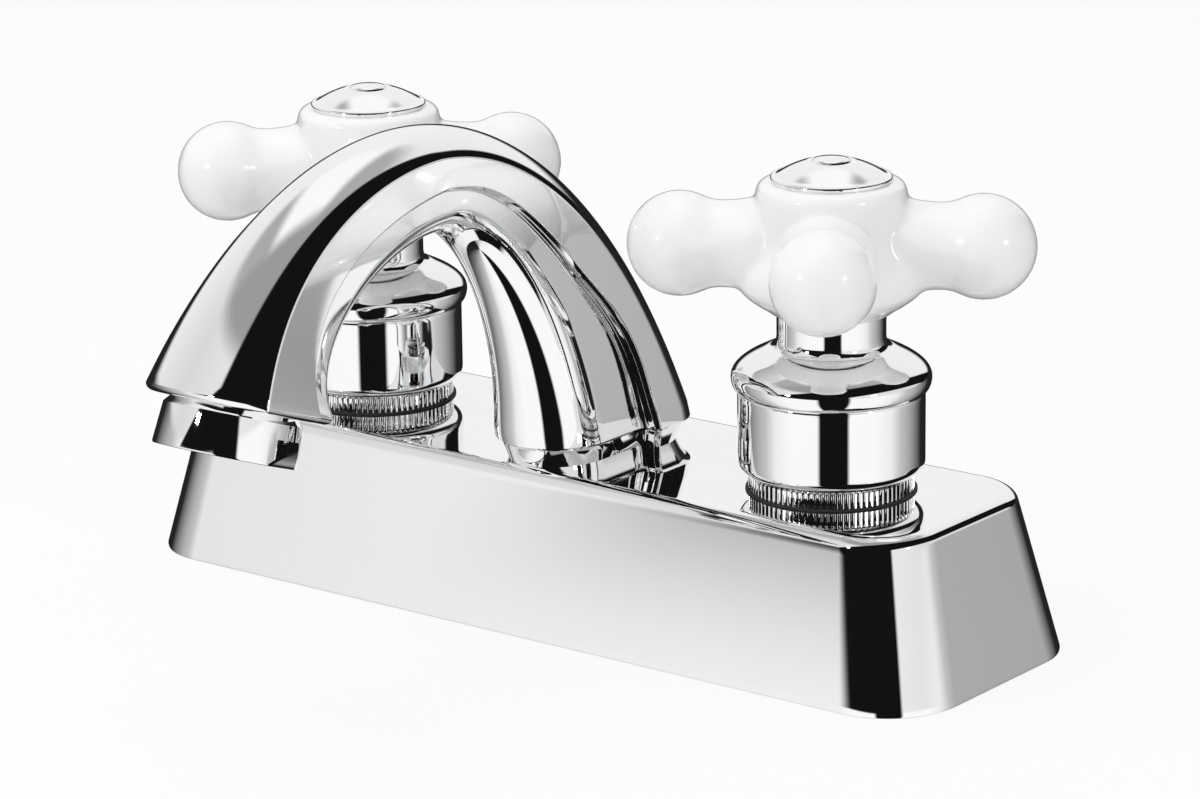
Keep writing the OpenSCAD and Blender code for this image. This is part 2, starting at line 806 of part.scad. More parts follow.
module hot_knurled_nut() { color("gainsboro") on_hot() knurled_nut(); }
module hot_bell() { color("gainsboro") on_hot() bell(); }
module hot_headwork() { color("goldenrod") on_hot() headwork(); }
module hot_headwork_washer() { color("firebrick") on_hot() headwork_washer(); }
module hot_seat_seal() { color("black") on_hot() seat_seal(); }
module hot_fixed_disc() { color("white") on_hot() disc(disc_bottom); }
module hot_turning_disc() { color("white") on_hot() disc(disc_face); }
module hot_spindle() { color("goldenrod") on_hot() spindle(); }
module hot_spindle_seals() { color("black") on_hot() spindle_seals(); }
module hot_spindle_clip() { color("silver") on_hot() spindle_clip(); }
module hot_handle() { color("white") on_hot(hot_rest_angle) handle(); }
module hot_handle_insert() { color("goldenrod") on_hot() handle_insert(); }
module hot_handle_screw() { color("silver") on_hot() handle_screw(); }
module hot_cap() { color("gainsboro") on_hot() cap(); }

module cold_knurled_nut() { color("gainsboro") on_cold() knurled_nut(); }
module cold_bell() { color("gainsboro") on_cold() bell(); }
module cold_headwork() { color("goldenrod") on_cold() headwork(); }
module cold_headwork_washer() { color("firebrick") on_cold() headwork_washer(); }
module cold_seat_seal() { color("black") on_cold() seat_seal(); }
module cold_fixed_disc() { color("white") on_cold() disc(disc_bottom); }
module cold_turning_disc() { color("white") on_cold() disc(disc_face); }
module cold_spindle() { color("goldenrod") on_cold() spindle(); }
module cold_spindle_seals() { color("black") on_cold() spindle_seals(); }
module cold_spindle_clip() { color("silver") on_cold() spindle_clip(); }
module cold_handle() { color("white") on_cold(cold_rest_angle) handle(); }
module cold_handle_insert() { color("goldenrod") on_cold() handle_insert(); }
module cold_handle_screw() { color("silver") on_cold() handle_screw(); }
module cold_cap() { color("gainsboro") on_cold() cap(); }

base_shell();
base_gasket();
waterway();
spout();
spout_shank();
spout_nut();
spout_washer();
spout_seal();
aerator_housing();
aerator_insert();
aerator_screen();
aerator_washer();
hot_knurled_nut();
hot_bell();
hot_headwork();
hot_headwork_washer();
hot_seat_seal();
hot_fixed_disc();
hot_turning_disc();
hot_spindle();
hot_spindle_seals();
hot_spindle_clip();
hot_handle();
hot_handle_insert();
hot_handle_screw();
hot_cap();
cold_knurled_nut();
cold_bell();
cold_headwork();
cold_headwork_washer();
cold_seat_seal();
cold_fixed_disc();
cold_turning_disc();
cold_spindle();
cold_spindle_seals();
cold_spindle_clip();
cold_handle();
cold_handle_insert();
cold_handle_screw();
cold_cap();
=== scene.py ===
# %% [markdown]
# # A two-handle basin tap
# The tap stands on one tapered block with a knurled nut and a turned bell over each valve, an arched spout in
# the middle and a porcelain cross handle on each side. This lesson dresses the measured solids of the tap: it
# models again each piece that shows, with smooth surfaces that a mirror finish needs, and gives every piece its
# finish. The frame comes first, because every size and place is taken from it.

# %% Load the frame
import json
import math

import bmesh
import bpy
from mathutils import Matrix, Vector


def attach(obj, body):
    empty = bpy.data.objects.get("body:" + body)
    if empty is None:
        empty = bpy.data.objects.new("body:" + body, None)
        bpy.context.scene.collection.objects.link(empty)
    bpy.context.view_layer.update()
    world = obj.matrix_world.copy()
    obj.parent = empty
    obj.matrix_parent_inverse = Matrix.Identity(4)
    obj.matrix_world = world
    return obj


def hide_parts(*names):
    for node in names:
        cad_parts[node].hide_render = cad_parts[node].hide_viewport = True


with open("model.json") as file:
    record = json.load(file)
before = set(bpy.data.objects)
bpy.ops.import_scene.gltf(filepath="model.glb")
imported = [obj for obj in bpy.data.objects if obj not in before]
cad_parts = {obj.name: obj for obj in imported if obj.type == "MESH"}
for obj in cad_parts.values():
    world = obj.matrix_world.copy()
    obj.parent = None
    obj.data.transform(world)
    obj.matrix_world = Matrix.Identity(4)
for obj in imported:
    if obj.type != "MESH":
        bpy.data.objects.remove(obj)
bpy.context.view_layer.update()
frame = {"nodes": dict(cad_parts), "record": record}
MM = 0.001

# %% [markdown]
# The camera is the photographer's: a long lens, from the cold side and a little above, rolled by less than one
# degree. A long lens keeps the far handle nearly as large as the near one. The focal length was fitted in pixels
# of a picture 1200 pixels wide, so it is turned into millimetres on a sensor 36 mm wide.

# %% Camera
scene = bpy.context.scene
FOCAL_PIXELS = 4920.107
PICTURE_WIDTH = 1200
SENSOR_WIDTH = 36
CAMERA_AZIMUTH = math.radians(37.859)
CAMERA_ELEVATION = math.radians(15.934)
CAMERA_ROLL = math.radians(-0.771)
CAMERA_DISTANCE = 0.866538
LOOK_AT = Vector((1.185, -0.168, 36.067)) * MM

backward = Vector((math.sin(CAMERA_AZIMUTH) * math.cos(CAMERA_ELEVATION),
                   -math.cos(CAMERA_AZIMUTH) * math.cos(CAMERA_ELEVATION), math.sin(CAMERA_ELEVATION)))
level_right = Vector((math.cos(CAMERA_AZIMUTH), math.sin(CAMERA_AZIMUTH), 0))
level_up = backward.cross(level_right)
right = level_right * math.cos(CAMERA_ROLL) + level_up * math.sin(CAMERA_ROLL)
up = level_up * math.cos(CAMERA_ROLL) - level_right * math.sin(CAMERA_ROLL)

bpy.ops.object.select_all(action="DESELECT")
bpy.ops.object.camera_add()
camera = bpy.context.object
camera.matrix_world = Matrix.Translation(LOOK_AT + backward * CAMERA_DISTANCE) @ Matrix(
    (right, up, backward)).transposed().to_4x4()
camera.data.sensor_width = SENSOR_WIDTH
camera.data.lens = FOCAL_PIXELS / PICTURE_WIDTH * SENSOR_WIDTH
camera.data.clip_start = 0.05
scene.camera = camera
scene.view_settings.view_transform = "Standard"
print("camera", [round(v, 4) for v in camera.location], "lens", round(camera.data.lens, 1), "mm")

# %% [markdown]
# Chrome has no colour of its own: it shows the studio. In this studio there are white sheets on both sides and
# behind the tap, greyer cloth at its flanks, a dark gap at the photographer's place, and darkness low down behind.
# The world is the simplest way to build that, because its colour can be worked out from the direction in which a
# ray leaves. Two dot products say how far a ray goes towards the camera and across the picture. Their arc tangent
# is the ray's angle round the vertical, here as a share of half a turn: 0 at the camera, 1 right behind the tap.

# %% Directions in the studio
world = bpy.data.worlds.new("studio")
scene.world = world
world.use_nodes = True
world_nodes = world.node_tree.nodes
world_links = world.node_tree.links
world_nodes.clear()


def add_node(nodes, kind, place, **settings):
    """Adds a shader node at a place in the editor and sets its properties."""
    node = nodes.new(kind)
    node.location = place
    for key, value in settings.items():
        setattr(node, key, value)
    return node


def add_math(nodes, links, operation, place, first, second=None):
    """Adds a Math node with sockets or plain numbers for its inputs."""
    node = add_node(nodes, "ShaderNodeMath", place, operation=operation)
    for socket, value in zip(node.inputs, (first, second)):
        if value is None:
            continue
        if isinstance(value, (int, float)):
            socket.default_value = value
        else:
            links.new(value, socket)
    return node.outputs[0]


ray = add_node(world_nodes, "ShaderNodeTexCoord", (-1400, 0)).outputs["Generated"]
split = add_node(world_nodes, "ShaderNodeSeparateXYZ", (-1200, -200))
world_links.new(ray, split.inputs[0])
climb = split.outputs["Z"]


def add_dot(place, direction):
    """Adds the dot product of the world's ray and a direction."""
    node = add_node(world_nodes, "ShaderNodeVectorMath", place, operation="DOT_PRODUCT")
    world_links.new(ray, node.inputs[0])
    node.inputs[1].default_value = direction
    return node.outputs["Value"]


towards = add_dot((-1200, 200), Vector((math.sin(CAMERA_AZIMUTH), -math.cos(CAMERA_AZIMUTH), 0)))
across = add_dot((-1200, 0), level_right)
turn_angle = add_math(world_nodes, world_links, "ARCTAN2", (-1000, 100), across, towards)
turn_size = add_math(world_nodes, world_links, "ABSOLUTE", (-850, 100), turn_angle)
turn_share = add_math(world_nodes, world_links, "DIVIDE", (-700, 100), turn_size, math.pi)
print("the direction of a ray takes", len(world_nodes), "nodes")

# %% [markdown]
# The angle goes through two Color Ramps, one for rays that run level or down and one for rays that rise. Each stop
# is an angle and a grey. The black up to 0.09 is the gap at the photographer's place, which draws the crisp dark
# stripe down every upright curve. The greys from 0.5 on shade the end of the base. The roof is grey above the
# photographer. Farther back it is white in the middle and greyer at both sides, which shades the spout's crown.

# %% Walls and roof
BLACK = 0.006
LOW_STOPS = [(0, BLACK), (0.09, BLACK), (0.112, 1), (0.3, 1), (0.42, 0.88), (0.5, 0.56), (0.58, 0.42), (0.7, 0.14),
             (0.76, 0.02), (1, 0.01)]
HIGH_STOPS = [(0, BLACK), (0.09, BLACK), (0.112, 0.85), (0.3, 0.8), (0.5, 0.72), (0.8, 0.88), (1, 0.92)]
ROOF_MIDDLE, ROOF_SIDES, ROOF_FRONT = 1.0, 0.42, 0.34
RISE_FADE, ROOF_FADE = (0.04, 0.16), (0.68, 0.82)
FRONT_FADE, SIDES_FADE = (-0.12, 0.1), (0.2, 0.36)


def add_ramp(nodes, links, place, factor, stops):
    """Adds a grey Color Ramp with (position, grey) stops."""
    node = add_node(nodes, "ShaderNodeValToRGB", place)
    ramp = node.color_ramp
    while len(ramp.elements) < len(stops):
        ramp.elements.new(0.5)
    for element, (position, grey) in zip(ramp.elements, stops):
        element.position = position
        element.color = (grey, grey, grey, 1)
    links.new(factor, node.inputs[0])
    return node.outputs[0]


def add_mix(nodes, links, place, factor, first, second):
    """Adds a colour Mix node. Each colour is a socket or a grey."""
    node = add_node(nodes, "ShaderNodeMix", place, data_type="RGBA")
    links.new(factor, node.inputs[0])
    for socket, value in ((node.inputs[6], first), (node.inputs[7], second)):
        if isinstance(value, (int, float)):
            socket.default_value = (value, value, value, 1)
        else:
            links.new(value, socket)
    return node.outputs[2]


def add_range(nodes, links, place, value, low, high):
    """Adds a smooth Map Range from low..high to 0..1."""
    node = add_node(nodes, "ShaderNodeMapRange", place, interpolation_type="SMOOTHSTEP")
    links.new(value, node.inputs["Value"])
    node.inputs["From Min"].default_value = low
    node.inputs["From Max"].default_value = high
    return node.outputs["Result"]


low_grey = add_ramp(world_nodes, world_links, (-500, 300), turn_share, LOW_STOPS)
high_grey = add_ramp(world_nodes, world_links, (-500, 50), turn_share, HIGH_STOPS)
rise = add_range(world_nodes, world_links, (-500, -200), climb, *RISE_FADE)
overhead = add_range(world_nodes, world_links, (-500, -450), climb, *ROOF_FADE)
front_side = add_range(world_nodes, world_links, (-500, -700), towards, *FRONT_FADE)
across_size = add_math(world_nodes, world_links, "ABSOLUTE", (-850, -600), across)
off_middle = add_range(world_nodes, world_links, (-650, -600), across_size, *SIDES_FADE)
roof_rear = add_mix(world_nodes, world_links, (-400, -600), off_middle, ROOF_MIDDLE, ROOF_SIDES)
roof = add_mix(world_nodes, world_links, (-250, -500), front_side, roof_rear, ROOF_FRONT)
walls = add_mix(world_nodes, world_links, (-250, 150), rise, low_grey, high_grey)
mirror_view = add_mix(world_nodes, world_links, (-50, 0), overhead, walls, roof)
print(len(LOW_STOPS), "stops for level rays,", len(HIGH_STOPS), "for rising ones")

# %% [markdown]
# A dark cloth hangs in an arch on the cold side, from the photographer's place over to behind the tap. The spout's
# crown mirrors it as one black band along its edge. The cloth is the strip of directions between two limits of one
# dot product: a fixed one at its foot, and an upper edge that lies higher towards the photographer.

# %% Dark arch
ARCH_DIRECTION = Vector((-0.689, -0.052, 0.72))
ARCH_EDGE, ARCH_EDGE_RISE = 0.4, 0.36
ARCH_EDGE_FADE, ARCH_FOOT_FADE, ARCH_LEVEL_FADE = (0.0, 0.05), (-0.27, -0.22), (0.0, 0.08)
arch_side = add_dot((-1200, -900), ARCH_DIRECTION)
arch_edge = add_math(world_nodes, world_links, "MULTIPLY_ADD", (-850, -1000), towards, ARCH_EDGE_RISE)
arch_edge.node.inputs[2].default_value = ARCH_EDGE
below_edge = add_math(world_nodes, world_links, "SUBTRACT", (-700, -950), arch_edge, arch_side)
arch_top = add_range(world_nodes, world_links, (-500, -950), below_edge, *ARCH_EDGE_FADE)
arch_foot = add_range(world_nodes, world_links, (-500, -1200), arch_side, *ARCH_FOOT_FADE)
arch_low = add_range(world_nodes, world_links, (-500, -1450), climb, *ARCH_LEVEL_FADE)
arch_mask = add_math(world_nodes, world_links, "MULTIPLY", (-250, -1000), arch_top, arch_foot)
arch_mask = add_math(world_nodes, world_links, "MULTIPLY", (-100, -1000), arch_mask, arch_low)
mirror_view = add_mix(world_nodes, world_links, (100, -200), arch_mask, mirror_view, BLACK)
print("dark arch across", [round(v, 2) for v in ARCH_DIRECTION])

# %% [markdown]
# Only mirrors and glaze see that studio. Matt surfaces get a plain even light from all round, so that a colour
# renders about as it is written, and the camera itself sees white.

# %% What each ray sees
PLAIN_LIGHT, CAMERA_WHITE = 0.62, 1.0
light_path = add_node(world_nodes, "ShaderNodeLightPath", (-250, 500))
plain_view = add_mix(world_nodes, world_links, (0, 350), light_path.outputs["Is Camera Ray"], PLAIN_LIGHT,
                     CAMERA_WHITE)
studio_view = add_mix(world_nodes, world_links, (200, 200), light_path.outputs["Is Glossy Ray"], plain_view,
                      mirror_view)
background = add_node(world_nodes, "ShaderNodeBackground", (400, 200))
world_links.new(studio_view, background.inputs["Color"])
world_out = add_node(world_nodes, "ShaderNodeOutputWorld", (600, 200))
world_links.new(background.outputs[0], world_out.inputs[0])
print("world with", len(world_nodes), "nodes")

# %% [markdown]
# The tap stands on a plain white floor. Its paper is white to the camera, partly by a glow that only the camera
# sees, and it still takes the tap's soft shadow. Chrome doesn't see the floor, because the world already gives it
# the studio from below.

# %% Floor
FLOOR_SIZE, PAPER_GREY, PAPER_GLOW = 8, 0.9, 0.86
bpy.ops.object.select_all(action="DESELECT")
bpy.ops.mesh.primitive_plane_add(size=FLOOR_SIZE, location=(0, 0, 0))
floor = bpy.context.object
floor.name = "floor"
floor.visible_glossy = False
paper = bpy.data.materials.new("floor_paper")
paper.use_nodes = True
paper_nodes, paper_links = paper.node_tree.nodes, paper.node_tree.links
paper_shader = paper_nodes["Principled BSDF"]
paper_shader.inputs["Base Color"].default_value = (PAPER_GREY, PAPER_GREY, PAPER_GREY, 1)
paper_shader.inputs["Roughness"].default_value = 0.9
paper_shader.inputs["Specular IOR Level"].default_value = 0
paper_glow = add_node(paper_nodes, "ShaderNodeEmission", (0, -300))
paper_mix = add_node(paper_nodes, "ShaderNodeMixShader", (400, 0))
camera_ray = add_node(paper_nodes, "ShaderNodeLightPath", (0, 300)).outputs["Is Camera Ray"]
paper_share = add_math(paper_nodes, paper_links, "MULTIPLY", (200, 300), camera_ray, PAPER_GLOW)
paper_links.new(paper_share, paper_mix.inputs[0])
paper_links.new(paper_shader.outputs[0], paper_mix.inputs[1])
paper_links.new(paper_glow.outputs[0], paper_mix.inputs[2])
paper_links.new(paper_mix.outputs[0], paper_nodes["Material Output"].inputs["Surface"])
floor.data.materials.append(paper)
print("floor at z", floor.location.z)

# %% [markdown]
# One large lamp hangs above and shapes the matt and glazed surfaces, with their undersides a little darker.
# Mirrors don't see it. Two small window lamps stand in front and at the right, and glaze shows each of them as a
# small bright patch.

# %% Lamps
LAMP_AIM = Vector((0, 0, 0.05))
LAMPS = [("top_lamp", (-0.15, -0.25, 1.1), 0.9, 4.6), ("window_left", (-0.246, -1.0, 0.41), 0.1, 1.5),
         ("window_right", (1.08, -0.1, 0.39), 0.1, 1.2)]
for name, place, size, power in LAMPS:
    bpy.ops.object.select_all(action="DESELECT")
    bpy.ops.object.light_add(type="AREA", location=place)
    lamp = bpy.context.object
    lamp.name = name
    lamp.data.size = size
    lamp.data.energy = power
    lamp.rotation_euler = (Vector(place) - LAMP_AIM).to_track_quat("Z", "Y").to_euler()
    lamp.visible_glossy = name != "top_lamp"
    print(name, "at", place)

# %% [markdown]
# Two effects are shared by several finishes, so each is a node group with its own inputs. The first is the trace
# that wiping leaves on a polished surface: the gloss changes a little from place to place. The second is a fine
# grain in height, for cast, moulded or ground surfaces.

# %% Shared effects
def new_group(name, inputs, outputs):
    """Makes a shader node group with named float inputs and outputs."""
    group = bpy.data.node_groups.new(name, "ShaderNodeTree")
    for label, value in inputs:
        group.interface.new_socket(label, in_out="INPUT", socket_type="NodeSocketFloat").default_value = value
    for label in outputs:
        group.interface.new_socket(label, in_out="OUTPUT", socket_type="NodeSocketFloat")
    start = add_node(group.nodes, "NodeGroupInput", (-800, 0))
    end = add_node(group.nodes, "NodeGroupOutput", (600, 0))
    return group, start, end


wipe_marks, wipe_in, wipe_out = new_group(
    "wipe_marks", [("Scale", 60), ("Dull", 0.06), ("Bright", 0.03)], ["Roughness"])
wipe_place = add_node(wipe_marks.nodes, "ShaderNodeTexCoord", (-600, 200)).outputs["Object"]
wipe_noise = add_node(wipe_marks.nodes, "ShaderNodeTexNoise", (-400, 100))
wipe_noise.inputs["Detail"].default_value = 4
wipe_marks.links.new(wipe_place, wipe_noise.inputs["Vector"])
wipe_marks.links.new(wipe_in.outputs["Scale"], wipe_noise.inputs["Scale"])
wipe_range = add_node(wipe_marks.nodes, "ShaderNodeMapRange", (0, 0))
wipe_range.inputs["From Min"].default_value = 0.35
wipe_range.inputs["From Max"].default_value = 0.7
wipe_marks.links.new(wipe_noise.outputs[0], wipe_range.inputs["Value"])
wipe_marks.links.new(wipe_in.outputs["Bright"], wipe_range.inputs["To Min"])
wipe_marks.links.new(wipe_in.outputs["Dull"], wipe_range.inputs["To Max"])
wipe_marks.links.new(wipe_range.outputs["Result"], wipe_out.inputs["Roughness"])

fine_grain, grain_in, grain_out = new_group(
    "fine_grain", [("Scale", 900), ("Blend", 0.3)], ["Height", "Mask"])
grain_place = add_node(fine_grain.nodes, "ShaderNodeTexCoord", (-600, 200)).outputs["Object"]
grain_noise = add_node(fine_grain.nodes, "ShaderNodeTexNoise", (-400, 200))
grain_noise.inputs["Detail"].default_value = 5
grain_cells = add_node(fine_grain.nodes, "ShaderNodeTexVoronoi", (-400, -200))
for node in (grain_noise, grain_cells):
    fine_grain.links.new(grain_place, node.inputs["Vector"])
    fine_grain.links.new(grain_in.outputs["Scale"], node.inputs["Scale"])
grain_mix = add_node(fine_grain.nodes, "ShaderNodeMix", (0, 0))
fine_grain.links.new(grain_in.outputs["Blend"], grain_mix.inputs["Factor"])
fine_grain.links.new(grain_noise.outputs[0], grain_mix.inputs["A"])
fine_grain.links.new(grain_cells.outputs["Distance"], grain_mix.inputs["B"])
fine_grain.links.new(grain_mix.outputs["Result"], grain_out.inputs["Height"])
fine_grain.links.new(grain_noise.outputs[0], grain_out.inputs["Mask"])
print("groups:", wipe_marks.name, fine_grain.name)

# %% [markdown]
# One helper makes every finish, so that all of them vary over the surface in the same way: the base colour lies
# between two close tones, the roughness comes from the wipe marks and the height from the grain.

# %% Finish helper
COAT_ROUGHNESS = 0.04


def finish(name, colours, wipe, grain, metallic=0.0, coat=0.0):
    """Principled material. Wipe: scale, lowest and highest roughness. Grain: scale, blend, strength, depth."""
    material = bpy.data.materials.new(name)
    material.use_nodes = True
    nodes, links = material.node_tree.nodes, material.node_tree.links
    shader = nodes["Principled BSDF"]
    wipe_node = add_node(nodes, "ShaderNodeGroup", (-500, 200), node_tree=wipe_marks)
    grain_node = add_node(nodes, "ShaderNodeGroup", (-700, -200), node_tree=fine_grain)
    for label, value in zip(("Scale", "Bright", "Dull"), wipe):
        wipe_node.inputs[label].default_value = value
    grain_node.inputs["Scale"].default_value = grain[0]
    grain_node.inputs["Blend"].default_value = grain[1]
    tint = add_node(nodes, "ShaderNodeMix", (-300, 400), data_type="RGBA")
    for socket, colour in zip((tint.inputs[6], tint.inputs[7]), colours):
        socket.default_value = (*colour, 1)
    links.new(grain_node.outputs["Mask"], tint.inputs[0])
    links.new(tint.outputs[2], shader.inputs["Base Color"])
    links.new(wipe_node.outputs["Roughness"], shader.inputs["Roughness"])
    bump = add_node(nodes, "ShaderNodeBump", (-300, -200))
    bump.inputs["Strength"].default_value = grain[2]
    bump.inputs["Distance"].default_value = grain[3] * MM
    links.new(grain_node.outputs["Height"], bump.inputs["Height"])
    links.new(bump.outputs["Normal"], shader.inputs["Normal"])
    shader.inputs["Metallic"].default_value = metallic
    shader.inputs["Coat Weight"].default_value = coat
    shader.inputs["Coat Roughness"].default_value = COAT_ROUGHNESS
    return material


print("a finish is made of", wipe_marks.name, "and", fine_grain.name)

# %% [markdown]
# The finishes follow the record's slots. Chrome is a bright mirror whose gloss varies a little. Porcelain is white
# under a clear glaze that is never quite flat. A real glaze mirrors more at its edges, which draws dark outlines in
# this studio, so its index of refraction is set low. Brass, steel, plastic, fibre and the ceramic of the discs are
# only seen from below or in a cut, and each has its own grain. The black rubber finish also goes on a thin ring
# under each nut.

# %% Finishes
GLAZE_IOR = 1.3
FINISHES = {
    "chrome": finish("mirror_chrome", ((0.93, 0.935, 0.94), (0.955, 0.96, 0.965)), (45, 0.02, 0.05),
                     (70, 0, 0.02, 0.1), metallic=1),
    "porcelain": finish("white_porcelain", ((0.9, 0.903, 0.9), (0.93, 0.933, 0.93)), (60, 0.16, 0.26),
                        (55, 0, 0.12, 0.15), coat=0.7),
    "brass": finish("cast_brass", ((0.62, 0.45, 0.2), (0.78, 0.6, 0.32)), (120, 0.28, 0.48),
                    (1400, 0.5, 0.35, 0.08), metallic=1),
    "steel": finish("satin_steel", ((0.55, 0.56, 0.57), (0.68, 0.69, 0.7)), (200, 0.22, 0.4),
                    (2500, 0.2, 0.2, 0.03), metallic=1),
    "rubber": finish("black_rubber", ((0.018, 0.018, 0.018), (0.035, 0.035, 0.035)), (90, 0.6, 0.8),
                     (2200, 0.4, 0.4, 0.06)),
    "plastic": finish("white_plastic", ((0.72, 0.72, 0.7), (0.8, 0.8, 0.78)), (150, 0.35, 0.5),
                      (1800, 0.2, 0.2, 0.03)),
    "fibre": finish("red_fibre", ((0.3, 0.05, 0.035), (0.5, 0.1, 0.07)), (200, 0.7, 0.9), (1500, 0.6, 0.5, 0.08)),
    "disc_ceramic": finish("ground_ceramic", ((0.82, 0.8, 0.75), (0.9, 0.88, 0.84)), (150, 0.3, 0.45),
                           (3000, 0.2, 0.2, 0.02)),
}
for label in ("IOR", "Coat IOR"):
    FINISHES["porcelain"].node_tree.nodes["Principled BSDF"].inputs[label].default_value = GLAZE_IOR
SLOT_OF = {part["node"]: part["material_slot"] for part in frame["record"]["subparts"]}
for node_name, solid in frame["nodes"].items():
    solid.data.materials.clear()
    solid.data.materials.append(FINISHES[SLOT_OF[node_name]])
print(len(FINISHES), "finishes on", len(frame["nodes"]), "solids")

# %% [markdown]
# Every new piece ends the same way: it gets smooth shading with crisp edges, the finish of the solid that it
# stands for, and a place on that solid's body. One helper does that, and one empties the selection before a new
# primitive, because the operators act on all that is selected.

# %% Helpers for every piece
BODY_OF = {name: body for body, names in frame["record"]["behaviour"]["bodies"].items() for name in names}


def clear_selection():
    """Leaves edit mode and deselects everything."""
    if bpy.context.object and bpy.context.object.mode != "OBJECT":
        bpy.ops.object.mode_set(mode="OBJECT")
    bpy.ops.object.select_all(action="DESELECT")


def choose(piece):
    """Makes one piece the only selected and active one."""
    clear_selection()
    piece.select_set(True)
    bpy.context.view_layer.objects.active = piece


def apply_modifier(piece, kind, **settings):
    """Adds a modifier with its settings and applies it."""
    choose(piece)
    modifier = piece.modifiers.new(kind.lower(), kind)
    for key, value in settings.items():
        setattr(modifier, key, value)
    bpy.ops.object.modifier_apply(modifier=modifier.name)


def set_in_place(piece, turn=0.0, tilt=0.0, move=(0, 0, 0)):
    """Turns a piece round Z, tilts it round X, moves it, and writes that into its mesh."""
    choose(piece)
    piece.rotation_euler = (tilt, 0, turn)
    piece.location = move
    bpy.ops.object.transform_apply(location=True, rotation=True, scale=True)


def dress(piece, node_name, crease=30):
    """Finishes a piece that stands for a CAD node."""
    choose(piece)
    bpy.ops.object.shade_smooth_by_angle(angle=math.radians(crease))
    piece.data.materials.clear()
    piece.data.materials.append(FINISHES[SLOT_OF[node_name]])
    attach(piece, BODY_OF[node_name])
    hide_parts(node_name)
    print(piece.name, len(piece.data.polygons), "faces")


def twin(piece, name):
    """A copy of a piece with its own mesh."""
    copy = piece.copy()
    copy.data = piece.data.copy()
    copy.name = copy.data.name = name
    scene.collection.objects.link(copy)
    return copy


# %% [markdown]
# The base and the spout change their outline all along, so both are drawn out ring by ring: a filled circle is
# put on the first ring's points, then extruded, and each time the new ring's points are moved to where the next
# outline wants them. Each point carries its number in a layer, which the extrusion copies.

# %% Drawing out rings
def drawn_out(name, rings):
    """Extrudes a filled circle through rings of points given in millimetres."""
    clear_selection()
    bpy.ops.mesh.primitive_circle_add(vertices=len(rings[0]), radius=MM, fill_type="NGON")
    piece = bpy.context.object
    piece.name = piece.data.name = name
    for vertex, point in zip(piece.data.vertices, rings[0]):
        vertex.co = Vector(point) * MM
    bpy.ops.object.mode_set(mode="EDIT")
    bpy.ops.mesh.select_mode(type="FACE")
    bpy.ops.mesh.select_all(action="SELECT")
    mesh = bmesh.from_edit_mesh(piece.data)
    number = mesh.verts.layers.int.new("number")
    for index, vertex in enumerate(mesh.verts):
        vertex[number] = index
    for ring in rings[1:]:
        bpy.ops.mesh.extrude_region_move()
        mesh = bmesh.from_edit_mesh(piece.data)
        number = mesh.verts.layers.int["number"]
        for vertex in mesh.verts:
            if vertex.select:
                vertex.co = Vector(ring[vertex[number]]) * MM
        bmesh.update_edit_mesh(piece.data)
    bpy.ops.mesh.select_all(action="SELECT")
    bpy.ops.mesh.remove_doubles(threshold=0.002 * MM)
    bpy.ops.mesh.normals_make_consistent(inside=False)
    bpy.ops.object.mode_set(mode="OBJECT")
    piece.data.attributes.remove(piece.data.attributes["number"])
    return piece


# %% [markdown]
# The base is a die-cast block that leans in on all four sides, with upright rounded corners and a soft edge round
# the deck. It is hollow below. Its outline is a rounded rectangle that shrinks with height, and the last rings run
# over the soft edge on to the deck.

# %% Base
BASE_LENGTH, BASE_WIDTH, DECK = 171.8, 56.0, 28.6
END_LEAN, SIDE_LEAN = 6.8, 6.0
CORNER_RADIUS, CORNER_TAPER = 14.0, 2.6
DECK_EDGE, FOOT_EDGE, BASE_WALL = 1.8, 0.5, 2.6
CORNER_STEPS, EDGE_STEPS = 16, 8
SIDE_LEVELS = (0.05, 0.35, 0.65, 0.9)


def base_ring(height, inset):
    """Rounded rectangle of the base at a height, shrunk on all sides."""
    lean = height / DECK
    half_length = BASE_LENGTH / 2 - END_LEAN * lean - inset
    half_width = BASE_WIDTH / 2 - SIDE_LEAN * lean - inset
    radius = max(1, CORNER_RADIUS - inset - CORNER_TAPER * lean)
    ring = []
    for quarter, (x, y) in enumerate(((1, 1), (-1, 1), (-1, -1), (1, -1))):
        for step in range(CORNER_STEPS + 1):
            angle = math.radians(90) * (quarter + step / CORNER_STEPS)
            ring.append((x * (half_length - radius) + radius * math.cos(angle),
                         y * (half_width - radius) + radius * math.sin(angle), height))
    return ring


base_rings = [base_ring(0, FOOT_EDGE), base_ring(0.15, FOOT_EDGE * 0.3), base_ring(FOOT_EDGE, 0)]
base_rings += [base_ring(DECK * share, 0) for share in SIDE_LEVELS]
for step in range(EDGE_STEPS + 1):
    angle = math.radians(90) * step / EDGE_STEPS
    base_rings.append(base_ring(DECK - DECK_EDGE * (1 - math.sin(angle)), DECK_EDGE * (1 - math.cos(angle))))
base_rings += [base_ring(DECK, DECK_EDGE + 0.5), base_ring(DECK, DECK_EDGE + 4)]
base = drawn_out("base_casting", base_rings)
print("base", BASE_LENGTH, "x", BASE_WIDTH, "x", DECK, "mm")

# %% [markdown]
# Now the underside is opened: its one face is picked by its normal and height, and deleted. Solidify then gives the
# casting its wall, inwards, and weighted normals keep the large sides flat in the mirror.

# %% Base wall
bpy.ops.object.mode_set(mode="EDIT")
bpy.ops.mesh.select_mode(type="FACE")
bpy.ops.mesh.select_all(action="DESELECT")
mesh = bmesh.from_edit_mesh(base.data)
for face in mesh.faces:
    face.select_set(face.normal.z < -0.99 and face.calc_center_median().z < MM)
bmesh.update_edit_mesh(base.data)
bpy.ops.mesh.delete(type="FACE")
bpy.ops.object.mode_set(mode="OBJECT")
apply_modifier(base, "SOLIDIFY", thickness=BASE_WALL * MM, offset=-1)
dress(base, "base_shell")
apply_modifier(base, "WEIGHTED_NORMAL", keep_sharp=True)

